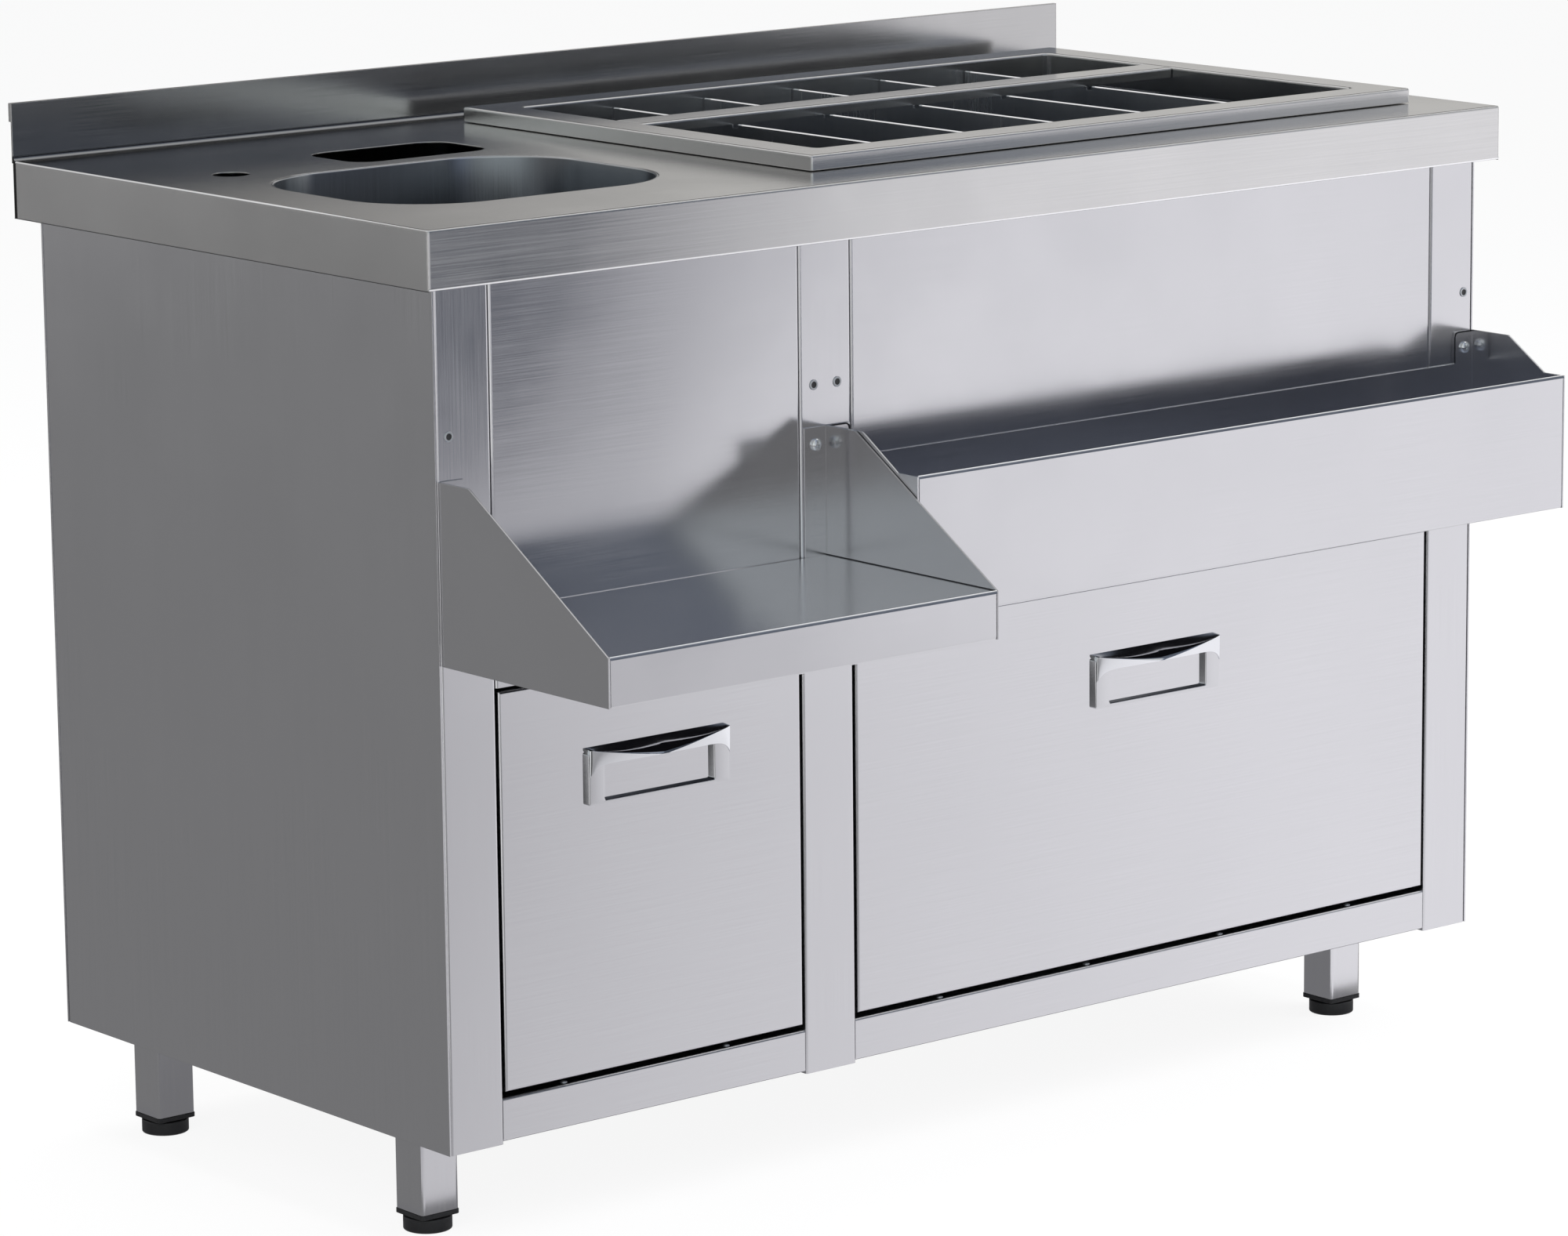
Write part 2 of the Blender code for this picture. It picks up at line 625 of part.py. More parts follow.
def cabinet():
    """The folded carcass: sides, back, base, posts, upper front panels, base rails and inner walls."""
    upright = (CABINET_BOTTOM, CABINET_TOP)
    side = side_panel_outline()
    place("side_panel_left", extrude(side, "z", *upright), "panel_steel")
    place("side_panel_right", extrude(mirrored(side), "z", *upright), "panel_steel")
    back = box(
        (CABINET_LEFT, BACK_PANEL_INNER, CABINET_BOTTOM), (CABINET_RIGHT, CABINET_BACK, CABINET_TOP),
    )
    place("back_panel", back, "panel_steel")

    inner_left = CABINET_LEFT + SHEET + SEAT_GAP
    base_path = [
        (inner_left, CABINET_BOTTOM + BASE_FLANGE), (inner_left, CABINET_BOTTOM),
        (-inner_left, CABINET_BOTTOM), (-inner_left, CABINET_BOTTOM + BASE_FLANGE),
    ]
    base = extrude(folded(base_path, SHEET), "y", BEHIND_POSTS, INNER_BACK)
    place("base_panel", base, "panel_steel")

    corner_post = channel_outline(inner_left, CABINET_LEFT + POST_WIDTH, POST_DEPTH)
    middle_post = channel_outline(MIDDLE_POST - POST_WIDTH / 2, MIDDLE_POST + POST_WIDTH / 2, POST_DEPTH)
    place("post_left", extrude(corner_post, "z", *upright), "panel_steel")
    place("post_middle", extrude(middle_post, "z", *upright), "panel_steel")
    place("post_right", extrude(mirrored(corner_post), "z", *upright), "panel_steel")

    for bay, (left, right) in BAYS.items():
        panel = channel_outline(left + SEAM, right - SEAM, FRONT_PANEL_RETURN)
        place("front_panel_" + bay, extrude(panel, "z", FRONT_PANEL_BOTTOM, CABINET_TOP), "panel_steel")
        face = CABINET_FRONT + BASE_RAIL_RECESS
        rail_path = [
            (face + BASE_RAIL_TOP_RETURN, BASE_RAIL_TOP), (face, BASE_RAIL_TOP),
            (face, STANDING_HEIGHT), (BEHIND_POSTS + BASE_RAIL_LAP, STANDING_HEIGHT),
        ]
        rail = extrude(folded(rail_path, SHEET), "x", left + SEAT_GAP, right - SEAT_GAP)
        place("base_rail_" + bay, rail, "panel_steel")

    wall_face = CABINET_LEFT + POST_WIDTH
    wall_path = [
        (wall_face, STANDING_HEIGHT), (wall_face, FRONT_PANEL_BOTTOM), (inner_left, FRONT_PANEL_BOTTOM),
    ]
    wall = folded(wall_path, SHEET)
    place("runner_wall_left", extrude(wall, "y", BEHIND_POSTS, INNER_BACK), "inner_steel")
    place("runner_wall_right", extrude(mirrored(wall), "y", BEHIND_POSTS, INNER_BACK), "inner_steel")
    partition_left = MIDDLE_POST - POST_WIDTH / 2
    partition_right = MIDDLE_POST + POST_WIDTH / 2
    partition_path = [
        (partition_right, STANDING_HEIGHT), (partition_right, FRONT_PANEL_BOTTOM),
        (partition_left, FRONT_PANEL_BOTTOM), (partition_left, STANDING_HEIGHT),
    ]
    partition = extrude(folded(partition_path, SHEET), "y", BEHIND_POSTS, SIDE_PANEL_BACK)
    place("partition", partition, "inner_steel")


def leg_places():
    """Each leg's name and the plan centre of its square tube."""
    across = CABINET_RIGHT - LEG_SIDE_INSET - LEG_SIZE / 2
    front = CABINET_FRONT + LEG_FRONT_INSET + LEG_SIZE / 2
    back = CABINET_BACK - LEG_BACK_INSET - LEG_SIZE / 2
    return {
        "front_left": (-across, front), "front_right": (across, front),
        "back_left": (-across, back), "back_right": (across, back),
    }


def leg_outline(centre, grown):
    """Plan of the leg's square tube, grown or shrunk all round."""
    size = LEG_SIZE + 2 * grown
    return rounded_rectangle(centre, size, size, LEG_CORNER + grown, FOLD_STEPS)


def leg_tube(centre):
    """A square tube, open at both ends, under the base panel."""
    outer = leg_outline(centre, 0.0)
    inner = leg_outline(centre, -LEG_WALL)
    top = CABINET_BOTTOM - SEAT_GAP
    return loft([
        level(outer, LEG_BOTTOM), level(outer, top), level(inner, top), level(inner, LEG_BOTTOM),
    ], closed=True)


def leg_cap(centre):
    """A plug for the tube's end, with a rim under it and a bore for the foot's stud."""
    rim = leg_outline(centre, CAP_OVERHANG)
    plug = leg_outline(centre, -LEG_WALL - SEAT_GAP)
    rim_top = LEG_BOTTOM - SEAT_GAP
    plug_top = rim_top + CAP_PLUG_LENGTH
    solid = loft([
        level(rim, CAP_BOTTOM), level(rim, rim_top), level(plug, rim_top), level(plug, plug_top),
    ])
    bore = circle(centre, STUD_RADIUS + SEAT_GAP)
    return cut(solid, extrude(bore, "z", CAP_BOTTOM - SHEET, plug_top + SHEET))


def levelling_foot(centre):
    """A round pad with a neck and the stud that screws up into the leg's cap."""
    shoulder = FOOT_HEIGHT + FOOT_NECK_HEIGHT
    return turned(centre, [
        (FOOT_RADIUS - FOOT_CHAMFER / 2, 0.0), (FOOT_RADIUS, FOOT_CHAMFER / 2),
        (FOOT_RADIUS, FOOT_HEIGHT - FOOT_CHAMFER), (FOOT_RADIUS - FOOT_CHAMFER, FOOT_HEIGHT),
        (FOOT_NECK_RADIUS, FOOT_HEIGHT), (FOOT_NECK_RADIUS, shoulder),
        (STUD_RADIUS, shoulder), (STUD_RADIUS, shoulder + STUD_LENGTH),
    ])


def legs():
    """Four square legs with their caps and levelling feet."""
    for corner, centre in leg_places().items():
        place("leg_" + corner, leg_tube(centre), "panel_steel")
        place("leg_cap_" + corner, leg_cap(centre), "black_plastic")
        axis = carrier("foot_axis_" + corner, (*centre, 0.0))
        place("foot_" + corner, levelling_foot(centre), "black_plastic", axis.location, axis)


def upright_rectangle(low, high, depth, radius=0.0):
    """A rectangle in the XZ plane at a depth, with each side drawn in by a radius."""
    left, right = low[0] + radius, high[0] - radius
    foot, top = low[1] + radius, high[1] - radius
    return [Vector((x, depth, z)) for x, z in ((left, foot), (right, foot), (right, top), (left, top))]


def drawer_front(left, right):
    """A folded pan: the drawer's face, its edges turned back and then in, where the box is fixed to it."""
    low = (left + DRAWER_SIDE_GAP, DRAWER_BOTTOM)
    high = (right - DRAWER_SIDE_GAP, DRAWER_TOP)
    back = CABINET_FRONT + DRAWER_FRONT_THICKNESS
    rings = []
    for step in range(FOLD_STEPS + 1):
        angle = step / FOLD_STEPS * math.pi / 2
        inset = EDGE_RADIUS * (1 - math.sin(angle))
        rings.append(upright_rectangle(low, high, CABINET_FRONT + EDGE_RADIUS * (1 - math.cos(angle)), inset))
    rings.append(upright_rectangle(low, high, back))
    rings.append(upright_rectangle(low, high, back, DRAWER_FRONT_RETURN))
    rings.append(upright_rectangle(low, high, back - SHEET, DRAWER_FRONT_RETURN))
    rings.append(upright_rectangle(low, high, back - SHEET, SHEET))
    rings.append(upright_rectangle(low, high, CABINET_FRONT + SHEET, SHEET))
    return loft(rings)


def drawer_box(left, right):
    """The drawer's open tray: floor and four walls of one sheet."""
    side = SEAT_GAP + RUNNER_WIDTH + SEAT_GAP
    front = CABINET_FRONT + DRAWER_FRONT_THICKNESS + SEAT_GAP
    centre = ((left + right) / 2, front + DRAWER_BOX_DEPTH / 2)
    length = right - left - 2 * side
    floor = DRAWER_BOTTOM + DRAWER_BOX_FLOOR_ABOVE_FRONT

    def around(inset, height):
        outline = rounded_rectangle(
            centre, length - 2 * inset, DRAWER_BOX_DEPTH - 2 * inset,
            DRAWER_BOX_CORNER - inset, SMALL_CORNER_STEPS,
        )
        return level(outline, height)

    return loft([
        around(0.0, floor), around(0.0, floor + DRAWER_BOX_HEIGHT),
        around(SHEET, floor + DRAWER_BOX_HEIGHT), around(SHEET, floor + SHEET),
    ])


def runner_outlines(face):
    """Sections of a left-hand runner's three nested channels, from the wall's face to the drawer's side."""
    height = DRAWER_BOTTOM + DRAWER_BOX_FLOOR_ABOVE_FRONT + RUNNER_ABOVE_BOX_FLOOR
    step = RUNNER_SHEET + RUNNER_PLAY
    wall_side = face + SEAT_GAP
    drawer_side = wall_side + RUNNER_WIDTH

    def channel(web, tip, half):
        return folded(
            [(tip, height + half), (web, height + half), (web, height - half), (tip, height - half)],
            RUNNER_SHEET, RUNNER_PLAY,
        )

    half = RUNNER_HEIGHT / 2
    tip = drawer_side - RUNNER_SHEET - RUNNER_TIP_GAP
    outer = channel(wall_side, tip, half)
    middle = channel(wall_side + step, tip, half - step)
    inner_tip = wall_side + 2 * step + RUNNER_TIP_GAP
    about = (drawer_side + inner_tip) / 2
    inner = mirrored(channel(inner_tip, drawer_side, half - 2 * step), about)
    return {"outer": outer, "middle": middle, "inner": inner}


def drawers():
    """Two drawers: face, handle and box on one sliding body, and a three-part runner on each side."""
    runner_start = BEHIND_POSTS + RUNNER_SETBACK
    for bay, (left, right) in BAYS.items():
        middle = (left + right) / 2
        slide = carrier("drawer_slide_" + bay, (middle, CABINET_FRONT, DRAWER_BOTTOM))
        place("drawer_front_" + bay, drawer_front(left, right), "panel_steel", slide.location, slide)
        place("drawer_box_" + bay, drawer_box(left, right), "inner_steel", slide.location, slide)
        place("handle_" + bay, handle(middle), "polished_chrome", slide.location, slide)
        for hand in ("left", "right"):
            for member, outline in runner_outlines(left).items():
                section = outline if hand == "left" else mirrored(outline, middle)
                solid = extrude(section, "y", runner_start, runner_start + RUNNER_LENGTH)
                name = "runner_" + member + "_" + bay + "_" + hand
                parent = slide if member == "inner" else None
                origin = slide.location if parent else (middle, runner_start, DRAWER_BOTTOM)
                place(name, solid, "zinc_steel", origin, parent)


def handle(middle):
    """A cup pull in one casting: a raised frame with an opening, under a hood with flared cheeks."""
    top = DRAWER_TOP - HANDLE_FROM_DRAWER_TOP
    foot = top - HANDLE_HEIGHT
    back = CABINET_FRONT - SEAT_GAP
    front = back - HANDLE_DEPTH
    left = middle - HANDLE_WIDTH / 2
    right = middle + HANDLE_WIDTH / 2
    outer = ((left, foot), (right, top))
    inner = (
        (left + HANDLE_SIDE_BORDER, foot + HANDLE_BOTTOM_BORDER),
        (right - HANDLE_SIDE_BORDER, top - HANDLE_TOP_BORDER),
    )
    frame = loft([
        upright_rectangle(*outer, back), upright_rectangle(*outer, front),
        upright_rectangle(*inner, front), upright_rectangle(*inner, back),
    ], closed=True)
    return joined(frame, hood(middle, back, top))


def hood(middle, back, top):
    """The hood's shell: quarter ovals from the frame's top edge out to its lip, fading into the frame's ends."""
    half = HANDLE_WIDTH / 2 - WELD_BITE
    rows = []
    for station in range(HOOD_LONG_STEPS + 1):
        along = -1 + 2 * station / HOOD_LONG_STEPS
        reach = HANDLE_DEPTH + (HOOD_REACH - HANDLE_DEPTH) * math.sqrt(1 - along ** HOOD_REACH_POWER)
        drop = HOOD_HEIGHT + (HOOD_CHEEK_HEIGHT - HOOD_HEIGHT) * along ** HOOD_CHEEK_POWER
        row = []
        for wall in (0.0, HOOD_WALL):
            arc = []
            for step in range(HOOD_ROUND_STEPS + 1):
                angle = step / HOOD_ROUND_STEPS * math.pi / 2
                arc.append(Vector((
                    middle + along * half,
                    back - WELD_BITE - (reach - wall) * math.sin(angle),
                    top - WELD_BITE - drop + (drop - wall) * math.cos(angle),
                )))
            row.append(arc)
        rows.append(row[0] + row[1][::-1])
    return loft(rows)


def fitting_tray(left, right, section, end_outline, lip_top, lip_front):
    """A folded tray between two end plates, with an open seam at each end of its front face."""
    ends = [extrude(end_outline, "x", left, left + SHEET), extrude(end_outline, "x", right - SHEET, right)]
    tray = extrude(section, "x", left + SHEET - WELD_BITE, right - SHEET + WELD_BITE)
    seams = [
        box(
            (start, lip_front - SHEET, FITTING_BOTTOM - SHEET),
            (start + SEAM, lip_front + 2 * SHEET, lip_top + SHEET),
        )
        for start in (left + SHEET, right - SHEET - SEAM)
    ]
    return joined(cut(tray, *seams), *ends)


def side_shelf():
    """The left shelf: floor with a turned-down front, two gusset ends and two screwed tabs."""
    left = CABINET_LEFT + SHELF_INSET_FROM_SIDE
    right = MIDDLE_POST - FITTING_SPACING / 2
    front = FITTING_BACK - SHELF_DEPTH
    floor = FITTING_BOTTOM + SHELF_LIP
    section = folded([
        (FITTING_BACK, floor - SHELF_BACK_FLANGE), (FITTING_BACK, floor), (front, floor),
        (front, FITTING_BOTTOM), (front + SHELF_LIP_RETURN, FITTING_BOTTOM),
    ], SHEET)
    gusset = [
        (FITTING_BACK, FITTING_BOTTOM), (front, FITTING_BOTTOM), (front, floor),
        (FITTING_BACK - SHELF_EAR_TOP, FITTING_TOP), (FITTING_BACK, FITTING_TOP),
    ]
    shelf = fitting_tray(left, right, section, gusset, floor, front)
    tabs = [
        box((start, FITTING_BACK - SHEET, floor - SHEET), (start + TAB_WIDTH, FITTING_BACK, FITTING_TOP))
        for start in (left, right - TAB_WIDTH)
    ]
    return joined(shelf, *tabs)


def bottle_rail():
    """The right bottle rail: an open trough with end plates that rise to two screwed tabs."""
    left = MIDDLE_POST + FITTING_SPACING / 2
    right = CABINET_RIGHT - SEAT_GAP
    front = FITTING_BACK - RAIL_DEPTH
    brim = FITTING_BOTTOM + RAIL_WALL_HEIGHT
    section = folded([
        (front, brim), (front, FITTING_BOTTOM), (FITTING_BACK, FITTING_BOTTOM), (FITTING_BACK, brim),
    ], SHEET)
    end_plate = [
        (FITTING_BACK, FITTING_BOTTOM), (front, FITTING_BOTTOM), (front, brim),
        (front + RAIL_EAR_SHOULDER, brim), (FITTING_BACK - RAIL_EAR_TOP, FITTING_TOP),
        (FITTING_BACK, FITTING_TOP),
    ]
    trough = fitting_tray(left, right, section, end_plate, brim, front)
    tabs = [
        box((start, FITTING_BACK - SHEET, brim - SHEET), (start + TAB_WIDTH, FITTING_BACK, FITTING_TOP))
        for start in (left, right - TAB_WIDTH)
    ]
    return joined(trough, *tabs)


def top_fittings():
    """Worktop, sink and the divided well with its lift-out rack."""
    place("worktop", worktop(), "worktop_steel")
    bowl = basin(
        SINK_CENTRE, (SINK_LENGTH, SINK_WIDTH), SINK_CORNER, CORNER_STEPS, UNDERSIDE - SEAT_GAP,
        SINK_DEPTH, SINK_FLOOR_RADIUS, SINK_FLOOR_FALL, SINK_FLANGE, SINK_CENTRE,
    )
    place("sink_bowl", bowl, "inner_steel")
    sink_floor = UNDERSIDE - SEAT_GAP - SINK_DEPTH - SINK_FLOOR_FALL
    place("sink_drain", drain(SINK_CENTRE, sink_floor), "polished_chrome")
    place("well_frame", well_frame(), "worktop_steel")
    well_drain = (WELL_CENTRE[0] + WELL_LENGTH / COMPARTMENTS / 2, WELL_CENTRE[1])
    tub = basin(
        WELL_CENTRE, (WELL_LENGTH, WELL_WIDTH), WELL_CORNER, SMALL_CORNER_STEPS, TUB_TOP,
        WELL_DEPTH, WELL_FLOOR_RADIUS, 0.0, WELL_FLANGE, well_drain,
    )
    place("well_tub", tub, "inner_steel")
    place("well_drain", drain(well_drain, TUB_TOP - WELL_DEPTH), "polished_chrome")
    rack = carrier("rack_lift", (WELL_CENTRE[0], CROSSBAR_FRONT + CROSSBAR_WIDTH / 2, RIM_TOP))
    place("well_crossbar", crossbar(), "worktop_steel", rack.location, rack)
    for number in range(1, COMPARTMENTS):
        place("well_divider_" + str(number), divider(number), "inner_steel", rack.location, rack)


def main():
    """Clears the scene and builds the bar station."""
    for thing in list(bpy.data.objects):
        bpy.data.objects.remove(thing, do_unlink=True)
    top_fittings()
    cabinet()
    legs()
    drawers()
    place("side_shelf", side_shelf(), "panel_steel")
    place("bottle_rail", bottle_rail(), "panel_steel")


main()
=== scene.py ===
# %% [markdown]
# # A stainless bar station
# The frame is the imported model: every solid of the bar station, in metres, already in its place.
# We load it first, and the pieces below take their places from the boxes of its solids.

# %% Load the frame
import math

import bmesh
import bpy
import numpy as np
from mathutils import Matrix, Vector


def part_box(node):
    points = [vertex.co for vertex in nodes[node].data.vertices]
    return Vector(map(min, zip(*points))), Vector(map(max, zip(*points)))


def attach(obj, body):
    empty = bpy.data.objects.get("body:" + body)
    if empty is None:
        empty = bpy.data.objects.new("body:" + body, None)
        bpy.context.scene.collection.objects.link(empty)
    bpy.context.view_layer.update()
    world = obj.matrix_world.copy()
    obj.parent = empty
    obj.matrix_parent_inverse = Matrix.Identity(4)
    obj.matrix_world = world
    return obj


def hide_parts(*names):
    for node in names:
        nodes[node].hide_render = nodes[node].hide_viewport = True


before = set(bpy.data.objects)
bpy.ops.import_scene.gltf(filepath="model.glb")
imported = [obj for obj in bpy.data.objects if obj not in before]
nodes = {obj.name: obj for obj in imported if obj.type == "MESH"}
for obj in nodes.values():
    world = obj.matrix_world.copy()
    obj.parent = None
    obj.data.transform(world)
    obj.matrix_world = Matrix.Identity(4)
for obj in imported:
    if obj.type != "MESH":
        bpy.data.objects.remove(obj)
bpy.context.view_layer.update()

# %% [markdown]
# ## Surfaces from arrays
# Screws, pulls and bowls are all smooth skins. One helper turns a grid of points into such a skin, so each
# piece below only has to say where its points are. Where a whole row of the grid meets in one point, as at
# the middle of a screw head, the doubled points are merged and the skin is closed.

# %% A grid of points becomes a mesh
MERGE = 1e-6


def skin(grid, wrap_rows=False, wrap_columns=False):
    """Points and quads of a (rows, columns, 3) grid; a wrap joins the last row or column to the first."""
    rows, columns = grid.shape[:2]
    index = np.arange(rows * columns).reshape(rows, columns)
    if wrap_rows:
        index = np.vstack([index, index[:1]])
    if wrap_columns:
        index = np.hstack([index, index[:, :1]])
    corners = (index[:-1, :-1], index[:-1, 1:], index[1:, 1:], index[1:, :-1])
    return grid.reshape(-1, 3), np.stack(corners, axis=-1).reshape(-1, 4)


def piece(name, skins, body, finish, crease=35):
    """One object from one or more closed skins, with its faces turned outwards and smooth up to the crease."""
    counts = np.cumsum([0] + [len(points) for points, _ in skins])
    points = np.vstack([points for points, _ in skins])
    quads = np.vstack([faces + start for (_, faces), start in zip(skins, counts)])
    mesh = bpy.data.meshes.new(name)
    mesh.from_pydata(points.tolist(), [], quads.tolist())
    work = bmesh.new()
    work.from_mesh(mesh)
    bmesh.ops.remove_doubles(work, verts=work.verts, dist=MERGE)
    bmesh.ops.dissolve_degenerate(work, edges=work.edges, dist=MERGE)
    bmesh.ops.recalc_face_normals(work, faces=work.faces)
    work.to_mesh(mesh)
    work.free()
    mesh.polygons.foreach_set("use_smooth", np.ones(len(mesh.polygons), dtype=bool))
    mesh.set_sharp_from_angle(angle=math.radians(crease))
    mesh.materials.append(finish)
    made = bpy.data.objects.new(name, mesh)
    bpy.context.scene.collection.objects.link(made)
    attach(made, body)
    print(name, "faces:", len(mesh.polygons))
    return made


# %% [markdown]
# ## Brushed steel
# Stainless sheet leaves the mill with a grain: fine scratches that all run one way. They spread a reflection
# across the grain, and they make one strip of sheet a little duller than the next. A stretched noise is that
# grain: long along the sheet, a fraction of a millimetre across it. It moves the roughness, the height and,
# very little, the colour. A second, slow noise is the handling that every used sheet shows.
# The real sheets have slightly rounded edges that catch the light. A Bevel node rounds the normals there, so
# that the solids keep their shape.
# Some places of a sheet get another tone, and that tone is painted light: faces that look up are lighter, a
# painted top light; the rolled lip of the bowl is lighter, a painted highlight; a part past a given line is darker
# and the inside corner of the splash is nearly black, both painted shade. Each is a range of place or of the
# normal's direction, in which another tone is mixed in.

# %% Helpers for shader nodes


def node(tree, kind, inputs=None, **settings):
    """A new shader node with its settings and the values or links of its inputs."""
    made = tree.nodes.new("ShaderNode" + kind)
    for key, value in settings.items():
        setattr(made, key, value)
    for key, value in (inputs or {}).items():
        if isinstance(value, bpy.types.NodeSocket):
            tree.links.new(value, made.inputs[key])
        else:
            made.inputs[key].default_value = value
    return made


def blank(name):
    """A material with an empty tree."""
    made = bpy.data.materials.new(name)
    made.use_nodes = True
    made.node_tree.nodes.clear()
    return made, made.node_tree


def split(tree, vector):
    """The X, Y and Z of a vector."""
    return node(tree, "SeparateXYZ", {"Vector": vector}).outputs


def maths(tree, kind, first, second=0.0):
    """One sum of two values, or of one where the kind takes one."""
    return node(tree, "Math", {0: first, 1: second}, operation=kind).outputs["Value"]


def ranged(tree, value, start, end, low=0.0, high=1.0, shape="LINEAR"):
    """The low value up to the start, the high one from the end on, and a line or a smooth step between them."""
    span = {"Value": value, "From Min": start, "From Max": end, "To Min": low, "To Max": high}
    return node(tree, "MapRange", span, interpolation_type=shape).outputs["Result"]


def spread(tree, value, low, high):
    """A noise value from 0.3 to 0.7 taken to the span from low to high."""
    return ranged(tree, value, 0.3, 0.7, low, high)


def mixed(tree, share, first, second, kind="MIX"):
    """The first colour where the share is 0, and the second, or their product, where it is 1."""
    colours = {"Fac": share, "Color1": first, "Color2": second}
    return node(tree, "MixRGB", colours, blend_type=kind).outputs["Color"]


def times(colour, share):
    """A solid colour with each channel times the share, and none above 1."""
    return (*[min(channel * share, 1.0) for channel in colour], 1.0)


print("shader helpers: 8")

# %% A steel finish with a grain
ALONG = 9.0
ACROSS = 1100.0
GRAIN_DULLS = 0.02
GRAIN_HEIGHT = 0.00003
WEAR_DULLS = (-0.02, 0.03)
GRAIN = {
    "x": (ALONG, ACROSS, ACROSS),
    "y": (ACROSS, ALONG, ACROSS),
    "z": (ACROSS, ACROSS, ALONG),
}
TOP_LIGHT_NORMALS = (0.8, 0.95)
LIP_HIGHLIGHT = (0.52, 0.53, 0.545, 1.0)
LIP_BLEND = 0.0005
SHADE_BEYOND_BLEND = 0.001
CORNER_SHADE_REACH = (0.003, 0.0022)
CORNER_SHADE_BLEND = 0.001
CORNER_SHADE_TONE = 0.04


def brushed(name, colour, roughness, grain, depth=0.02, edge=0.0007, streak=0.05, top_light=1.0, lip=None, shade_beyond=None,
            corner_shade=None):
    """Metal whose roughness, height and tint follow the grain noise.

    Faces that look up are lighter by the top light: painted top light. Above the lip's z the tone is lighter: a
    painted highlight. Past a start on an axis it keeps a share of its tone, and near the corner's y and below its z
    it
    is dark: both painted shade.
    """
    made, tree = blank(name)
    place = node(tree, "TexCoord").outputs["Object"]
    along = node(tree, "Mapping", {"Vector": place, "Scale": GRAIN[grain]}).outputs["Vector"]
    fine = node(tree, "TexNoise", {"Vector": along, "Scale": 1.0, "Detail": 3.0}).outputs["Fac"]
    slow = node(tree, "TexNoise", {"Vector": place, "Scale": 7.0, "Detail": 4.0}).outputs["Fac"]
    dull = spread(tree, fine, roughness - GRAIN_DULLS, roughness + GRAIN_DULLS)
    rough = maths(tree, "ADD", dull, spread(tree, slow, *WEAR_DULLS))
    tone = mixed(tree, spread(tree, fine, 0.0, 1.0), times(colour, 1 - streak), times(colour, 1 + streak))
    # Painted top light: faces that look up take a lighter tone, the colour times the top light.
    if top_light > 1.0:
        up = split(tree, node(tree, "NewGeometry").outputs["Normal"])["Z"]
        tone = mixed(tree, ranged(tree, up, *TOP_LIGHT_NORMALS), tone, times(colour, top_light))
    # Painted highlight: above the lip's z the tone goes over to a lighter one.
    if lip:
        above = ranged(tree, split(tree, place)["Z"], lip - LIP_BLEND, lip)
        tone = mixed(tree, above, tone, LIP_HIGHLIGHT)
    # Painted shade: past the start on the axis the tone is multiplied by the share.
    if shade_beyond:
        axis, start, share = shade_beyond
        past = ranged(tree, split(tree, place)[axis], start, start + SHADE_BEYOND_BLEND)
        tone = mixed(tree, past, tone, (share, share, share, 1.0), "MULTIPLY")
    # Painted shade: near the corner's y and below its z the tone goes nearly black.
    if corner_shade:
        at = split(tree, place)
        away = maths(tree, "ABSOLUTE", maths(tree, "SUBTRACT", at["Y"], corner_shade[0]))
        below = ranged(tree, at["Z"], corner_shade[1] + CORNER_SHADE_BLEND, corner_shade[1])
        inside = maths(tree, "MULTIPLY", ranged(tree, away, *CORNER_SHADE_REACH), below)
        tone = mixed(tree, inside, tone, times(colour, CORNER_SHADE_TONE))
    normal = node(tree, "Bevel", {"Radius": edge}, samples=4).outputs["Normal"]
    bump = {"Strength": depth, "Distance": GRAIN_HEIGHT, "Height": fine, "Normal": normal}
    normal = node(tree, "Bump", bump).outputs["Normal"]
    shader = node(tree, "BsdfPrincipled", {
        "Base Color": tone, "Metallic": 1.0, "Roughness": rough, "Normal": normal,
    }).outputs["BSDF"]
    node(tree, "OutputMaterial", {"Surface": shader})
    print(name, "grain along", grain)
    return made


# %% The sheets of this object
SHEET = (0.69, 0.688, 0.705)
sheet_x = brushed("panel_grain_x", SHEET, 0.18, "x", streak=0.02)
sheet_z = brushed("panel_grain_z", SHEET, 0.18, "z", streak=0.015)
# The worktop's splash is darker, a painted shade, and its inside corner is nearly black, a painted shade.
worktop_sheet = brushed("worktop_grain_x", (0.69, 0.686, 0.68), 0.18, "x", edge=0.0011, streak=0.04,
                        corner_shade=(0.3955, 0.8615), shade_beyond=("Y", 0.3925, 0.8))
# The shelf is lighter where it looks up, a painted top light, and darker past x -0.1846, a painted shade.
shelf_sheet = brushed("shelf_grain_x", SHEET, 0.18, "x", streak=0.02, top_light=1.27,
                      shade_beyond=("X", -0.1846, 0.77))
# The dividers are lighter where they look up: a painted top light on their tops.
divider_sheet = brushed("divider_grain_z", (0.68, 0.70, 0.73), 0.24, "z", edge=0.0008, top_light=1.4)
# The tub's dark, cool tone is painted shade inside the well, with a painted cool reflection.
tub_sheet = brushed("tub_grain_z", (0.34, 0.356, 0.385), 0.26, "z", edge=0.0006)
# The bowl's dark, cool tone is painted shade inside the bowl with a painted cool reflection; its floor is lighter
# where it looks up, a painted top light, and its lip lighter, a painted highlight.
bowl_sheet = brushed("bowl_grain_z", (0.28, 0.296, 0.318), 0.22, "z", depth=0.05, edge=0.0004, top_light=2.3,
                     lip=0.8562)
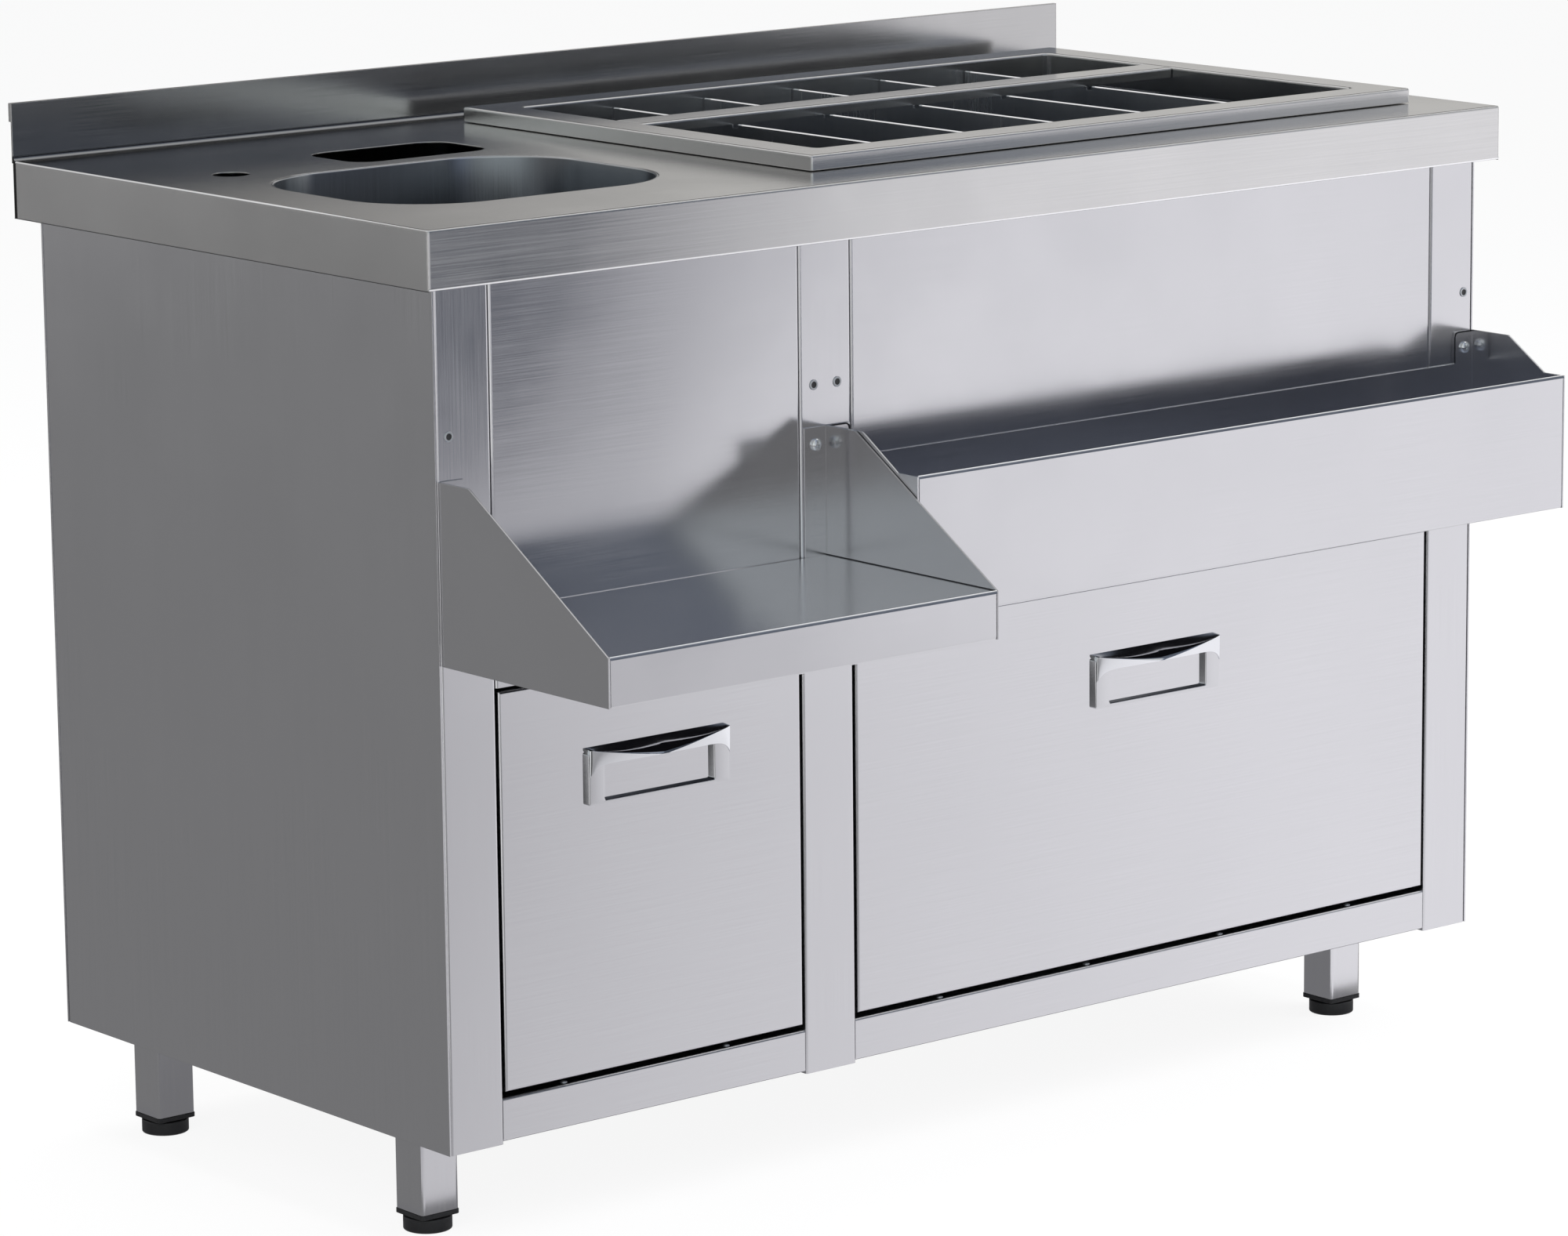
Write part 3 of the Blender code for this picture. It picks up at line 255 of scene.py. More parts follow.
# The round in the splash's inside corner is dark, part of the painted shade there; against it it shows as a light
# line.
corner_sheet = brushed("corner_grain_x", (0.27, 0.274, 0.28), 0.18, "x", edge=0.0002)
box_sheet = brushed("box_grain_x", (0.60, 0.61, 0.63), 0.28, "x")
zinc = brushed("zinc_plate", (0.56, 0.58, 0.60), 0.38, "y", edge=0.0003)

# %% [markdown]
# ## Plated metal and painted lines
# The pulls and the wastes are plated: a mirror with a faint orange peel from the casting under it. The screws
# are bright zinc and the frames of the pulls satin. A near-white metal gives the light lines along some edges, a
# painted highlight, and a nearly black one the dark lines, a painted shadow and a dark joint. One function makes
# them all, with more or less wave and haze. On the satin frame the ledge over the opening looks up into the hood;
# that function can darken the faces that look up, a painted shade.

# %% A plated finish
LEDGE_SHADE_NORMALS = (0.75, 0.95)


def plated(name, colour, roughness, wave=0.12, ledge_shade=None):
    """A mirror metal with a slight wave and a little haze; faces that look up keep the shade share: a painted shade.
    """
    made, tree = blank(name)
    place = node(tree, "TexCoord").outputs["Object"]
    swell = node(tree, "TexNoise", {"Vector": place, "Scale": 160.0, "Detail": 2.0}).outputs["Fac"]
    haze = node(tree, "TexNoise", {"Vector": place, "Scale": 900.0, "Detail": 3.0}).outputs["Fac"]
    bump = {"Strength": wave, "Distance": 0.0002, "Height": swell}
    normal = node(tree, "Bump", bump).outputs["Normal"]
    tone = (*colour, 1.0)
    # Painted shade: faces that look up keep the share of the tone.
    if ledge_shade:
        up = split(tree, node(tree, "NewGeometry").outputs["Normal"])["Z"]
        tone = mixed(tree, ranged(tree, up, *LEDGE_SHADE_NORMALS), tone, times(colour, ledge_shade))
    shader = node(tree, "BsdfPrincipled", {
        "Base Color": tone, "Metallic": 1.0, "Normal": normal,
        "Roughness": spread(tree, haze, roughness, roughness + 0.05),
    }).outputs["BSDF"]
    node(tree, "OutputMaterial", {"Surface": shader})
    return made


chrome = plated("chrome_plate", (0.82, 0.83, 0.85), 0.05)
bright = plated("bright_zinc", (0.80, 0.81, 0.82), 0.10, wave=0.05)
# Near-white metal for the highlight strips: a painted highlight.
highlight_finish = plated("painted_edge_highlight", (0.95, 0.95, 0.955), 0.12, wave=0.02)
# Nearly black metal for the dark strips: painted shadow, and a dark joint.
shadow_and_joint_line = plated("painted_shadow_and_joint_line", (0.05, 0.05, 0.055), 0.45, wave=0.05)
# Faces that look up keep 0.06 of the tone: painted shade on the ledge under the hood.
satin = plated("satin_plate", (0.66, 0.66, 0.675), 0.16, wave=0.02, ledge_shade=0.06)
print("plated finishes: 5")

# %% [markdown]
# ## Black plastic
# The leg caps and feet are moulded in black plastic with a fine matt texture from the mould. A plain black would
# look painted, so a fine noise raises grit on it and a slow one varies its gloss.

# %% A moulded finish


def moulded(name, colour, roughness):
    """Dull plastic: a fine noise is the mould's texture, and a slow one its uneven gloss."""
    made, tree = blank(name)
    place = node(tree, "TexCoord").outputs["Object"]
    grit = node(tree, "TexNoise", {"Vector": place, "Scale": 1400.0, "Detail": 3.0}).outputs["Fac"]
    gloss = node(tree, "TexNoise", {"Vector": place, "Scale": 90.0, "Detail": 2.0}).outputs["Fac"]
    bump = {"Strength": 0.3, "Distance": 0.0002, "Height": grit}
    normal = node(tree, "Bump", bump).outputs["Normal"]
    shader = node(tree, "BsdfPrincipled", {
        "Base Color": (*colour, 1.0), "Normal": normal,
        "Roughness": spread(tree, gloss, roughness - 0.06, roughness + 0.06),
    }).outputs["BSDF"]
    node(tree, "OutputMaterial", {"Surface": shader})
    return made


black = moulded("black_moulding", (0.012, 0.012, 0.013), 0.42)
print("moulded finishes: 1")

# %% [markdown]
# ## A finish for every solid
# A sheet's grain follows how it was cut from the coil: upright on the posts, the side and back panels and the
# legs, and along the length of the worktop, the front panels, the drawers, the shelf and the rail. A table from
# the beginning of a solid's name to its finish says this in one place.

# %% Give each solid its finish
FINISHES = {
    "worktop": worktop_sheet,
    "sink_bowl": bowl_sheet,
    "sink_drain": chrome,
    "well_drain": chrome,
    "well_frame": worktop_sheet,
    "well_tub": tub_sheet,
    "well_crossbar": worktop_sheet,
    "well_divider": divider_sheet,
    "side_panel": sheet_z,
    "back_panel": sheet_z,
    "base_panel": sheet_x,
    "partition": sheet_z,
    "runner_wall": sheet_z,
    "post": sheet_z,
    "front_panel": sheet_x,
    "base_rail": sheet_x,
    "leg_cap": black,
    "leg": sheet_z,
    "foot": black,
    "drawer_front": sheet_x,
    "drawer_box": box_sheet,
    "runner": zinc,
    "handle": chrome,
    "side_shelf": shelf_sheet,
    "bottle_rail": sheet_x,
}


def finish_of(name):
    """The finish whose key is the longest beginning of the solid's name."""
    key = max((key for key in FINISHES if name.startswith(key)), key=len)
    return FINISHES[key]


for name, solid in nodes.items():
    solid.data.materials.clear()
    solid.data.materials.append(finish_of(name))
print("finished solids:", len(nodes))

# %% [markdown]
# ## Cup pulls
# A cup pull is one casting: a satin frame with an opening for the fingers, and a plated hood over its top.
# The solid has the same form with few flat faces, which a mirror finish would show at once. So each pull is
# made again from arrays. The frame is a rounded profile carried round a rounded rectangle.

# %% The frame of a pull
PULL_WIDTH = 0.147
PULL_SIDE = 0.016
PULL_FOOT = 0.0032
PULL_HEAD = 0.002
PULL_DEPTH = 0.0085
PULL_EDGE = 0.0009
PULL_CORNER = 0.0016
QUARTER = np.linspace(0.0, math.pi / 2, 7)


def rounded_loop(low, high, radius, steps=7):
    """Points round a rectangle whose corners are quarter circles, from the right side upwards."""
    turn = np.linspace(0.0, math.pi / 2, steps)
    turn = np.concatenate([turn + quarter * math.pi / 2 for quarter in range(4)])
    corner = np.repeat(np.arange(4), steps)
    middle_x = np.where((corner == 0) | (corner == 3), high[0] - radius, low[0] + radius)
    middle_z = np.where(corner < 2, high[1] - radius, low[1] + radius)
    return np.column_stack([middle_x + radius * np.cos(turn), middle_z + radius * np.sin(turn)])


def pull_frame(low, high, back):
    """Loops from the outer back edge over a rounded front to the inner back edge, joined into a ring."""
    low, high = np.array(low), np.array(high)
    hole_low = low + (PULL_SIDE, PULL_FOOT)
    hole_high = high - (PULL_SIDE, PULL_HEAD)
    front = back - PULL_DEPTH
    inset = PULL_EDGE * (1 - np.cos(QUARTER))
    depth = front + PULL_EDGE * (1 - np.sin(QUARTER))
    loops = [(low, high, 0.0, back)]
    loops += [(low, high, shift, at) for shift, at in zip(inset, depth)]
    loops += [(hole_low, hole_high, -shift, at) for shift, at in zip(inset[::-1], depth[::-1])]
    loops += [(hole_low, hole_high, 0.0, back)]
    rows = []
    for corner_low, corner_high, shift, at in loops:
        loop = rounded_loop(corner_low + shift, corner_high - shift, PULL_CORNER)
        rows.append(np.column_stack([loop[:, 0], np.full(len(loop), at), loop[:, 1]]))
    return skin(np.array(rows), wrap_rows=True, wrap_columns=True)


print("points round a frame:", len(rounded_loop((0.0, 0.0), (1.0, 1.0), PULL_CORNER)))

# %% [markdown]
# The hood could be a quarter of a tube, but the real one swells: it reaches furthest in the middle and runs down
# into a cheek at each end. So it is a row of sections, each a curve out of the frame that bends down to the lip.
# Their reach, their drop and the height at which they stand upright change along the pull.

# %% The hood of a pull
HOOD_REACH = 0.015
HOOD_DROP = 0.0128
HOOD_CHEEK = 0.023
HOOD_WALL = 0.0016
HOOD_BITE = 0.0002
HOOD_COVER = 0.004
HOOD_STANDOFF = 0.0012
HOOD_TUCK = 0.08
HOOD_TURN = 1.05
HOOD_TURN_LEAST = 0.04
HOOD_SECTIONS = 161
HOOD_STEPS = 41


def closed_ends(grid):
    """A grid with one more row at each end, whose points all lie in the middle of the row beside it."""
    ends = [np.repeat(grid[[row]].mean(axis=1, keepdims=True), grid.shape[1], axis=1) for row in (0, -1)]
    return np.concatenate([ends[0], grid, ends[1]])


def pull_hood(middle, top, back):
    """Sections side by side, y = reach * (1 - (1 - t / turn)^2) down to the turn and a slight tuck below it.

    The turn, where a section stands upright, runs from the lip in the middle to the top at both ends.
    """
    s = np.sin(np.linspace(-math.pi / 2, math.pi / 2, HOOD_SECTIONS))[:, None]
    end = PULL_DEPTH + HOOD_STANDOFF
    reach = end + (HOOD_REACH - end) * np.sqrt(np.clip(1 - np.abs(s) ** 3, 0.0, 1.0))
    drop = HOOD_DROP + (HOOD_CHEEK - HOOD_DROP) * s ** 12
    turn = np.maximum(HOOD_TURN * (1 - np.abs(s) ** 1.15), HOOD_TURN_LEAST)
    t = np.linspace(0.0, 1.0, HOOD_STEPS) ** 1.8
    wall = np.repeat([0.0, HOOD_WALL], HOOD_STEPS)[None, :]
    t = np.concatenate([t, t[::-1]])[None, :]
    out = np.where(t < turn, 1 - (1 - t / turn) ** 2, 1 - HOOD_TUCK * (t - turn) ** 2)
    x = middle + s * (PULL_WIDTH / 2 - HOOD_BITE) + 0.0 * t
    y = back - HOOD_BITE - np.maximum(reach - wall, 0.0) * out
    z = top - HOOD_BITE - wall - (drop - wall) * t
    return skin(closed_ends(np.stack([x, y, z], axis=-1)), wrap_columns=True)


print("sections of a hood:", HOOD_SECTIONS, "points in each:", 2 * HOOD_STEPS)

# %% [markdown]
# Each pull rides on its drawer. A brushed drawer front hardly mirrors the pull on it, while an even roughness
# would show a second one, so both pieces are hidden from mirror rays.

# %% Make both pulls
for side in ("left", "right"):
    low, high = (np.array(corner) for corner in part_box("handle_" + side))
    middle = (low[0] + high[0]) / 2
    frame_skin = pull_frame((low[0], low[2]), (high[0], high[2] - HOOD_COVER), high[1])
    hood_skin = pull_hood(middle, high[2], high[1])
    plate = piece("pull_frame_" + side, [frame_skin], "drawer_" + side, satin)
    hood = piece("pull_hood_" + side, [hood_skin], "drawer_" + side, chrome, crease=50)
    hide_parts("handle_" + side)
    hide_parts("handle_" + side)
    plate.visible_glossy = False
    hood.visible_glossy = False

# %% [markdown]
# ## Sink bowl
# The bowl is pressed from one sheet and welded under the worktop, and the edge of the opening is rolled over
# into it. Each height of the bowl is a rounded rectangle, so the bowl is a stack of them: the roll, the
# upright wall, the round edge of the floor and the fall to the waste, and back up outside for its thickness.

# %% Make the bowl
BOWL_SIZE = np.array((0.302, 0.248))
BOWL_CORNER = 0.084
BOWL_GAP = 0.0002
BOWL_LOW = 0.0002
BOWL_FLOOR_EDGE = 0.030
BOWL_SHEET = 0.0012
BOWL_ROLL = 0.0012
BOWL_FLOOR = 0.6957
BOWL_LAND = 0.6897
LAND_RADIUS = 0.0385
HOLE_RADIUS = 0.026
BOWL_FLANGE = 0.010
BOWL_STEPS = 24
WORKTOP = 0.8575
UNDER_WORKTOP = 0.8557


def level_loop(centre, size, corner, height):
    """A rounded rectangle at a height, with a quarter circle of points at each corner."""
    flat = rounded_loop(centre - size / 2, centre + size / 2, corner, BOWL_STEPS)
    return np.column_stack([flat, np.full(len(flat), height)])


def bowl_loops(centre, drain, floor, land):
    """The bowl's loops from the flange over the rolled edge, down the wall, across the floor and back outside."""
    turn = np.linspace(math.pi, 0.0, 9)
    over = np.column_stack([
        BOWL_GAP + BOWL_ROLL * (1 + np.cos(turn)), WORKTOP - BOWL_LOW - BOWL_ROLL * (1 - np.sin(turn)),
    ])
    inner = BOWL_GAP + 2 * BOWL_ROLL
    flange = np.array([
        (-BOWL_FLANGE, UNDER_WORKTOP - BOWL_SHEET), (-BOWL_FLANGE, UNDER_WORKTOP), (BOWL_GAP, UNDER_WORKTOP),
    ])
    bend = np.linspace(0.0, math.pi / 2, 13)
    inside = np.column_stack([
        inner + BOWL_FLOOR_EDGE * (1 - np.cos(bend)), floor + BOWL_FLOOR_EDGE * (1 - np.sin(bend)),
    ])
    outer_edge = BOWL_FLOOR_EDGE + BOWL_SHEET
    outside = np.column_stack([
        inner + BOWL_FLOOR_EDGE - outer_edge * np.cos(bend), floor + BOWL_FLOOR_EDGE - outer_edge * np.sin(bend),
    ])[::-1]

    def loops(pairs):
        """One loop for each pair of an inset from the opening and a height."""
        return [level_loop(centre, BOWL_SIZE - 2 * inset, BOWL_CORNER - inset, height) for inset, height in pairs]

    def fall(start, shift):
        """Loops in even shares of the way from the start to the ring round the waste, and on to its hole."""
        away = start - (*drain, 0.0)
        away[:, 2] = 0.0
        away /= np.linalg.norm(away, axis=1)[:, None]
        shares = np.linspace(0.0, 1.0, 9)[1:]
        ring = np.array((*drain, land - shift)) + away * LAND_RADIUS
        hole = np.array((*drain, land - shift)) + away * HOLE_RADIUS
        return [start + (ring - start) * share for share in shares] + [hole]

    down = loops(np.vstack([flange, over, inside]))
    up = loops(np.vstack([outside, [(BOWL_GAP, UNDER_WORKTOP - BOWL_SHEET)]]))
    return np.array(down + fall(down[-1], 0.0) + fall(up[0], BOWL_SHEET)[::-1] + up)


low, high = (np.array(corner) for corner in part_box("sink_bowl"))
drain_low, drain_high = (np.array(corner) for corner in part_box("sink_drain"))
bowl_centre = ((low + high) / 2)[:2]
drain_centre = ((drain_low + drain_high) / 2)[:2]
bowl_skin = skin(bowl_loops(bowl_centre, drain_centre, BOWL_FLOOR, BOWL_LAND), wrap_rows=True, wrap_columns=True)
bowl = piece("pressed_bowl", [bowl_skin], "cabinet", bowl_sheet, crease=60)
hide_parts("sink_bowl")
print("bowl opening:", BOWL_SIZE.tolist(), "drain at:", drain_centre.round(4).tolist())

# %% [markdown]
# ## Highlight strips
# Light lines run along the lower edge of the fascia, the upper edges of the worktop's ends, the brim of the rail,
# the lip of the shelf and a narrow ridge on the top of each divider. Each is a thin strip in a near-white metal: a
# painted highlight. The inside corner of the splash is a small round in a dark tone, part of the painted shade of
# that corner, against which it shows as a light line. A bevel could make these, but a solid keeps its mesh, so each
# is a small closed section carried along a straight line. Mirror rays pass by all of them, so that a line doesn't
# light the sheet beside it.

# %% A section carried along a line
CORNER_CENTRE = (0.39325, 0.8615)
CORNER_RADIUS = 0.004
CORNER_PROUD = 0.0003
HIGHLIGHT_CREASE = 20


def carried(section, stops, axis, shares=(1.0, 1.0)):
    """A closed section at stops along an axis, shrunk to a share of itself at each.

    The first row is drawn together in the middle of the first section, and the last row in that of the second.
    """
    middle = section.mean(axis=0)
    rows = [np.insert(middle + (section - middle) * share, axis, at, axis=1) for at, share in zip(stops, shares)]
    caps = [np.repeat(row.mean(axis=0, keepdims=True), len(section), axis=0) for row in rows[:2]]
    return skin(np.array([caps[0], *rows, caps[1]]), wrap_columns=True)


def corner_section(turn):
    """A thin crescent on the inside corner of the splash: one arc a little proud of the sheet, one behind it."""
    proud = CORNER_RADIUS - CORNER_PROUD * np.sin(np.linspace(0.0, math.pi, len(turn)))
    reach = np.concatenate([proud[::-1], np.full(len(turn), CORNER_RADIUS + CORNER_PROUD)])
    turn = np.concatenate([turn[::-1], turn])
    return np.column_stack([np.sin(turn), -np.cos(turn)]) * reach[:, None] + CORNER_CENTRE


def highlighted(name, skins, body="cabinet", finish=highlight_finish):
    """A piece with sharp creases that mirror rays pass by."""
    made = piece(name, skins, body, finish, crease=HIGHLIGHT_CREASE)
    made.visible_glossy = False


# %% Make the highlight strips
FASCIA_SECTION = np.array([(0.0004, 0.0018), (-0.0004, 0.0014), (-0.00012, 0.0003), (0.0004, 0.0002)])
FASCIA_FACE = -0.20125
FASCIA_LOW = 0.809
FASCIA_ENDS = (-0.5994, 0.5994)
TOP_SECTION = np.array([(0.6002, 0.8564), (0.60052, 0.857), (0.5995, 0.85802), (0.5989, 0.8577), (0.5989, 0.8564)])
TOP_STOPS = (-0.2, 0.0, 0.393)
TOP_SHARES = (0.05, 1.0, 1.0)
CORNER_TURN = np.radians(np.linspace(-4.0, 92.0, 17))
CORNER_ENDS = (-0.5996, 0.5996)
BRIM_SECTION = np.array([(-0.0008, -0.002), (0.0, 0.0), (0.0006, 0.0007), (0.0014, 0.0006), (0.0014, -0.0008),
                         (0.0004, -0.0023)])
CLEAR_OF_EAR = 0.0016
RAIL_BRIM = 0.624
SHELF_FLOOR = 0.5435
RIDGE_SECTION = np.array([(-0.0009, -0.001), (-0.0009, -0.0004), (0.0, 0.0006), (0.0009, -0.0004),
                          (0.0009, -0.001)])
RIDGE_SPANS = ((-0.0937, 0.1386), (0.1859, 0.3172))
DIVIDER_TOP = 0.8619

# Each strip below is near-white metal: a painted highlight line.
fascia_skin = carried(FASCIA_SECTION + (FASCIA_FACE, FASCIA_LOW), FASCIA_ENDS, 0)
highlighted("fascia_edge", [fascia_skin])
top_skins = [carried(TOP_SECTION * (side, 1), TOP_STOPS, 1, TOP_SHARES) for side in (-1, 1)]
highlighted("worktop_end_edges", top_skins)
corner_skin = carried(corner_section(CORNER_TURN), CORNER_ENDS, 0)
highlighted("splash_corner", [corner_skin], finish=corner_sheet)
for solid, edge, level in (("bottle_rail", "rail_brim", RAIL_BRIM), ("side_shelf", "shelf_lip", SHELF_FLOOR)):
    low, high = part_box(solid)
    brim_skin = carried(BRIM_SECTION + (low[1], level), (low[0] + CLEAR_OF_EAR, high[0] - CLEAR_OF_EAR), 0)
    highlighted(edge, [brim_skin])
ridges = []
for number in range(1, 6):
    low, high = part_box(f"well_divider_{number}")
    section = RIDGE_SECTION + ((low[0] + high[0]) / 2, DIVIDER_TOP)
    ridges += [carried(section, span, 1) for span in RIDGE_SPANS]
highlighted("divider_ridges", ridges, body="divider_rack")
print("buffed edges:", 6 + len(ridges))

# %% [markdown]
# ## Dark lines
# The rail hangs on two tabs with a rounded corner. A narrow, nearly black strip follows the inner edge and top of
# each tab, a painted shadow of the gap between the tab and the post. A dark strip under the fascia's lower edge at
# both ends of the worktop is a painted shadow too, and a dark joint runs along the foot of the shelf's right cheek.
# These two are sections carried along a line once more.

# %% Make the dark edges
TAB_FACE = -0.18645
TAB_WIDTH = 0.0245
TAB_CORNER = 0.005
TAB_STRIP = 0.0013
TAB_PROUD = 0.0004
TAB_SUNK = 0.0002
TAB_SHORT = 0.002
TAB_ABOVE_BRIM = 0.0005
END_SECTION = np.array([(0.5997, 0.8084), (0.5985, 0.8084), (0.5985, 0.8092), (0.5997, 0.8092)])
END_STOPS = (-0.2005, 0.3980)
JOINT_SECTION = np.array([(0.0, 0.0008), (-0.0007, 0.0), (-0.0006, -0.0002), (0.0002, -0.0002), (0.0002, 0.0007)])
JOINT_FROM_END = 0.0015
JOINT_FROM_LIP = 0.0022


def tab_edge(edge, towards, low, high):
    """A strip up the tab's inner edge, round its corner and along its top; towards is +1 or -1 along X."""
    turn = np.linspace(0.0, math.pi / 2, 9)
    x = np.concatenate([[0.0], TAB_CORNER * (1 - np.cos(turn)), [TAB_WIDTH - TAB_SHORT]])
    z = np.concatenate([[low], high - TAB_CORNER * (1 - np.sin(turn)), [high]])
    bend = np.concatenate([[0.0], turn, [math.pi / 2]])
    line = np.column_stack([x, z])
    inner = line + np.column_stack([np.cos(bend), -np.sin(bend)]) * TAB_STRIP
    corners = ((line, -TAB_PROUD), (inner, -TAB_PROUD), (inner, TAB_SUNK), (line, TAB_SUNK))
    rows = np.stack([
        np.column_stack([edge + towards * at[:, 0], np.full(len(at), TAB_FACE + out), at[:, 1]])
        for at, out in corners
    ], axis=1)
    return skin(closed_ends(rows), wrap_columns=True)


low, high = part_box("bottle_rail")
tab_low = RAIL_BRIM + TAB_ABOVE_BRIM
tab_edges = [
    tab_edge(low[0] + TAB_WIDTH, -1, tab_low, high[2]), tab_edge(high[0] - TAB_WIDTH, 1, tab_low, high[2]),
]
# Nearly black strips along the tabs: painted shadow of the gap between tab and post.
piece("rail_tab_edges", tab_edges, "cabinet", shadow_and_joint_line, crease=30)
low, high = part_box("side_shelf")
joint_place = (high[0] - JOINT_FROM_END, SHELF_FLOOR)
joint_skin = carried(JOINT_SECTION + joint_place, (low[1] + JOINT_FROM_LIP, TAB_FACE), 1)
piece("shelf_joint", [joint_skin], "cabinet", shadow_and_joint_line, crease=20)
end_edges = [carried(END_SECTION * (side, 1), END_STOPS, 1) for side in (-1, 1)]
# Nearly black strips under the fascia's ends: painted shadow.
piece("fascia_end_edges", end_edges, "cabinet", shadow_and_joint_line, crease=20)

# %% [markdown]
# ## Screws
# The shelf and the rail hang on cross-head screws. A screw head is a low dome whose height falls away at the
# rim, with a cross sunk into it. The height is one function of the radius and the angle, so the cross is
# part of the surface and needs no cutting.

# %% Make the screws of the shelf and the rail
SCREW_HEAD = 0.0054
SCREW_HEIGHT = 0.0036
SCREW_RIM = 0.28
SCREW_TURN = 0.35
SCREW_TURN_MORE = 0.6
CROSS_HALF = 0.0008
CROSS_REACH = 0.0033
CROSS_SIDE = 0.0002
CROSS_END = 0.0004
CROSS_DEPTH = 0.0019
SCREW_LINE = 0.638
SCREW_PLACES = (-0.1941, 0.573, -0.5714, -0.1692)


def screw_head(x, z, face, turned):
    """Height = dome(r) - depth where the nearer of |u| and |v| is inside the cross's arms.

    The arms' sides and ends slope, so that the cross has walls and no steps.
    """
    r = np.concatenate([np.linspace(0.0, 1.0, 30), [1.0, 0.0]])[:, None] * SCREW_HEAD
    angle = np.linspace(0.0, 2 * math.pi, 96, endpoint=False)[None, :]
    share = np.clip(r / SCREW_HEAD, 0.0, 1.0)
    height = SCREW_HEIGHT * (SCREW_RIM + (1 - SCREW_RIM) * np.sqrt(np.clip(1 - share ** 2.4, 0.0, 1.0)))
    u = np.abs(r * np.cos(angle - turned))
    v = np.abs(r * np.sin(angle - turned))
    arm = np.clip((CROSS_HALF - np.minimum(u, v)) / CROSS_SIDE, 0.0, 1.0)
    arm = arm * np.clip((CROSS_REACH - np.maximum(u, v)) / CROSS_END, 0.0, 1.0)
    height = height - CROSS_DEPTH * arm
    height[-2:] = 0.0
    return skin(np.stack([
        x + r * np.cos(angle), face - height, z + r * np.sin(angle),
    ], axis=-1), wrap_columns=True)


turns = SCREW_TURN + SCREW_TURN_MORE * np.arange(len(SCREW_PLACES))
screws = [screw_head(x, SCREW_LINE, TAB_FACE, turned) for x, turned in zip(SCREW_PLACES, turns)]
piece("fitting_screws", screws, "cabinet", bright, crease=30)

# %% [markdown]
# ## Spare threads
# Above the shelf and the rail the posts carry spare rivet nuts, for hanging them higher. A rivet nut is a
# thin flange with a threaded hole. The flange is a turned profile, and the hole is a shallow turned cup in black:
# a painted shade of the threaded bore.

# %% Make the rivet nuts
POST_FACE = -0.18465
NUT_LINE = 0.6883
NUT_PLACES = (-0.5714, -0.1946, -0.1692, 0.5729)
NUT_FLANGE = np.array([(0.0, 0.0), (0.0044, 0.0), (0.0044, 0.0005), (0.0041, 0.0008), (0.0029, 0.0008),
                       (0.0027, 0.0006), (0.0027, 0.0003), (0.0, 0.0003)])
NUT_HOLE = np.array([(0.0, 0.00032), (0.00268, 0.00032), (0.00268, 0.0005), (0.0024, 0.00045), (0.0, 0.0004)])


def turned_on_face(x, z, face, profile, steps=40):
    """A profile of (radius, height) pairs carried round an axis that points out of the front."""
    angle = np.linspace(0.0, 2 * math.pi, steps, endpoint=False)[None, :]
    r, height = profile[:, :1], profile[:, 1:]
    return skin(np.stack([
        x + r * np.cos(angle), face - height + 0.0 * angle, z + r * np.sin(angle),
    ], axis=-1), wrap_columns=True)


flanges = [turned_on_face(x, NUT_LINE, POST_FACE, NUT_FLANGE) for x in NUT_PLACES]
holes = [turned_on_face(x, NUT_LINE, POST_FACE, NUT_HOLE) for x in NUT_PLACES]
piece("rivet_nuts", flanges, "cabinet", zinc)
# The hole cups are black: painted shade in the threaded bores.
piece("rivet_nut_holes", holes, "cabinet", black)

# %% [markdown]
# ## Screws under the drawers
# In the gap under each drawer the heads of the screws show that hold the base panel to the base rail. They
# are plain low domes, so a turned profile on an upright axis is enough.

# %% Make the screws of the base rails
RAIL_TOP = 0.1362
RAIL_SCREW_Y = -0.1765
RAIL_SCREWS = (-0.462, -0.29, -0.053, 0.118, 0.279, 0.439)
DOME_SIZE = (0.0032, 0.0016)
DOME_TURN = np.linspace(0.0, math.pi / 2, 9)
DOME = np.vstack([[(0.0, 0.0)], np.column_stack([np.cos(DOME_TURN), np.sin(DOME_TURN)]) * DOME_SIZE])


def turned_up(centre, profile, steps=72):
    """A profile of (radius, height) pairs carried round an upright axis."""
    angle = np.linspace(0.0, 2 * math.pi, steps, endpoint=False)[None, :]
    r, z = profile[:, :1], profile[:, 1:]
    return skin(np.stack([
        centre[0] + r * np.cos(angle), centre[1] + r * np.sin(angle), z + 0.0 * angle,
    ], axis=-1), wrap_columns=True)


heads = [turned_up((x, RAIL_SCREW_Y), DOME + (0.0, RAIL_TOP), 32) for x in RAIL_SCREWS]
piece("base_rail_screws", heads, "cabinet", zinc, crease=60)

# %% [markdown]
# ## Levelling feet
# Each foot is a black pad on a threaded stud that screws up into the leg. The pad is a turned profile with
# small rounds, so that its edge catches a line of light. The stud's thread is one more function of two
# parameters: the radius follows a triangle wave of height and angle, which is a screw.

# %% Make the feet
PAD_RADIUS = 0.0206
PAD_HEIGHT = 0.0118
NECK_RADIUS = 0.009
NECK_TOP = 0.0129
STUD_RADIUS = 0.005
STUD_STEPS = 32
PITCH = 0.0015
PITCH_STEPS = 8
THREAD_DEPTH = 0.0008
ROUND = 0.0012


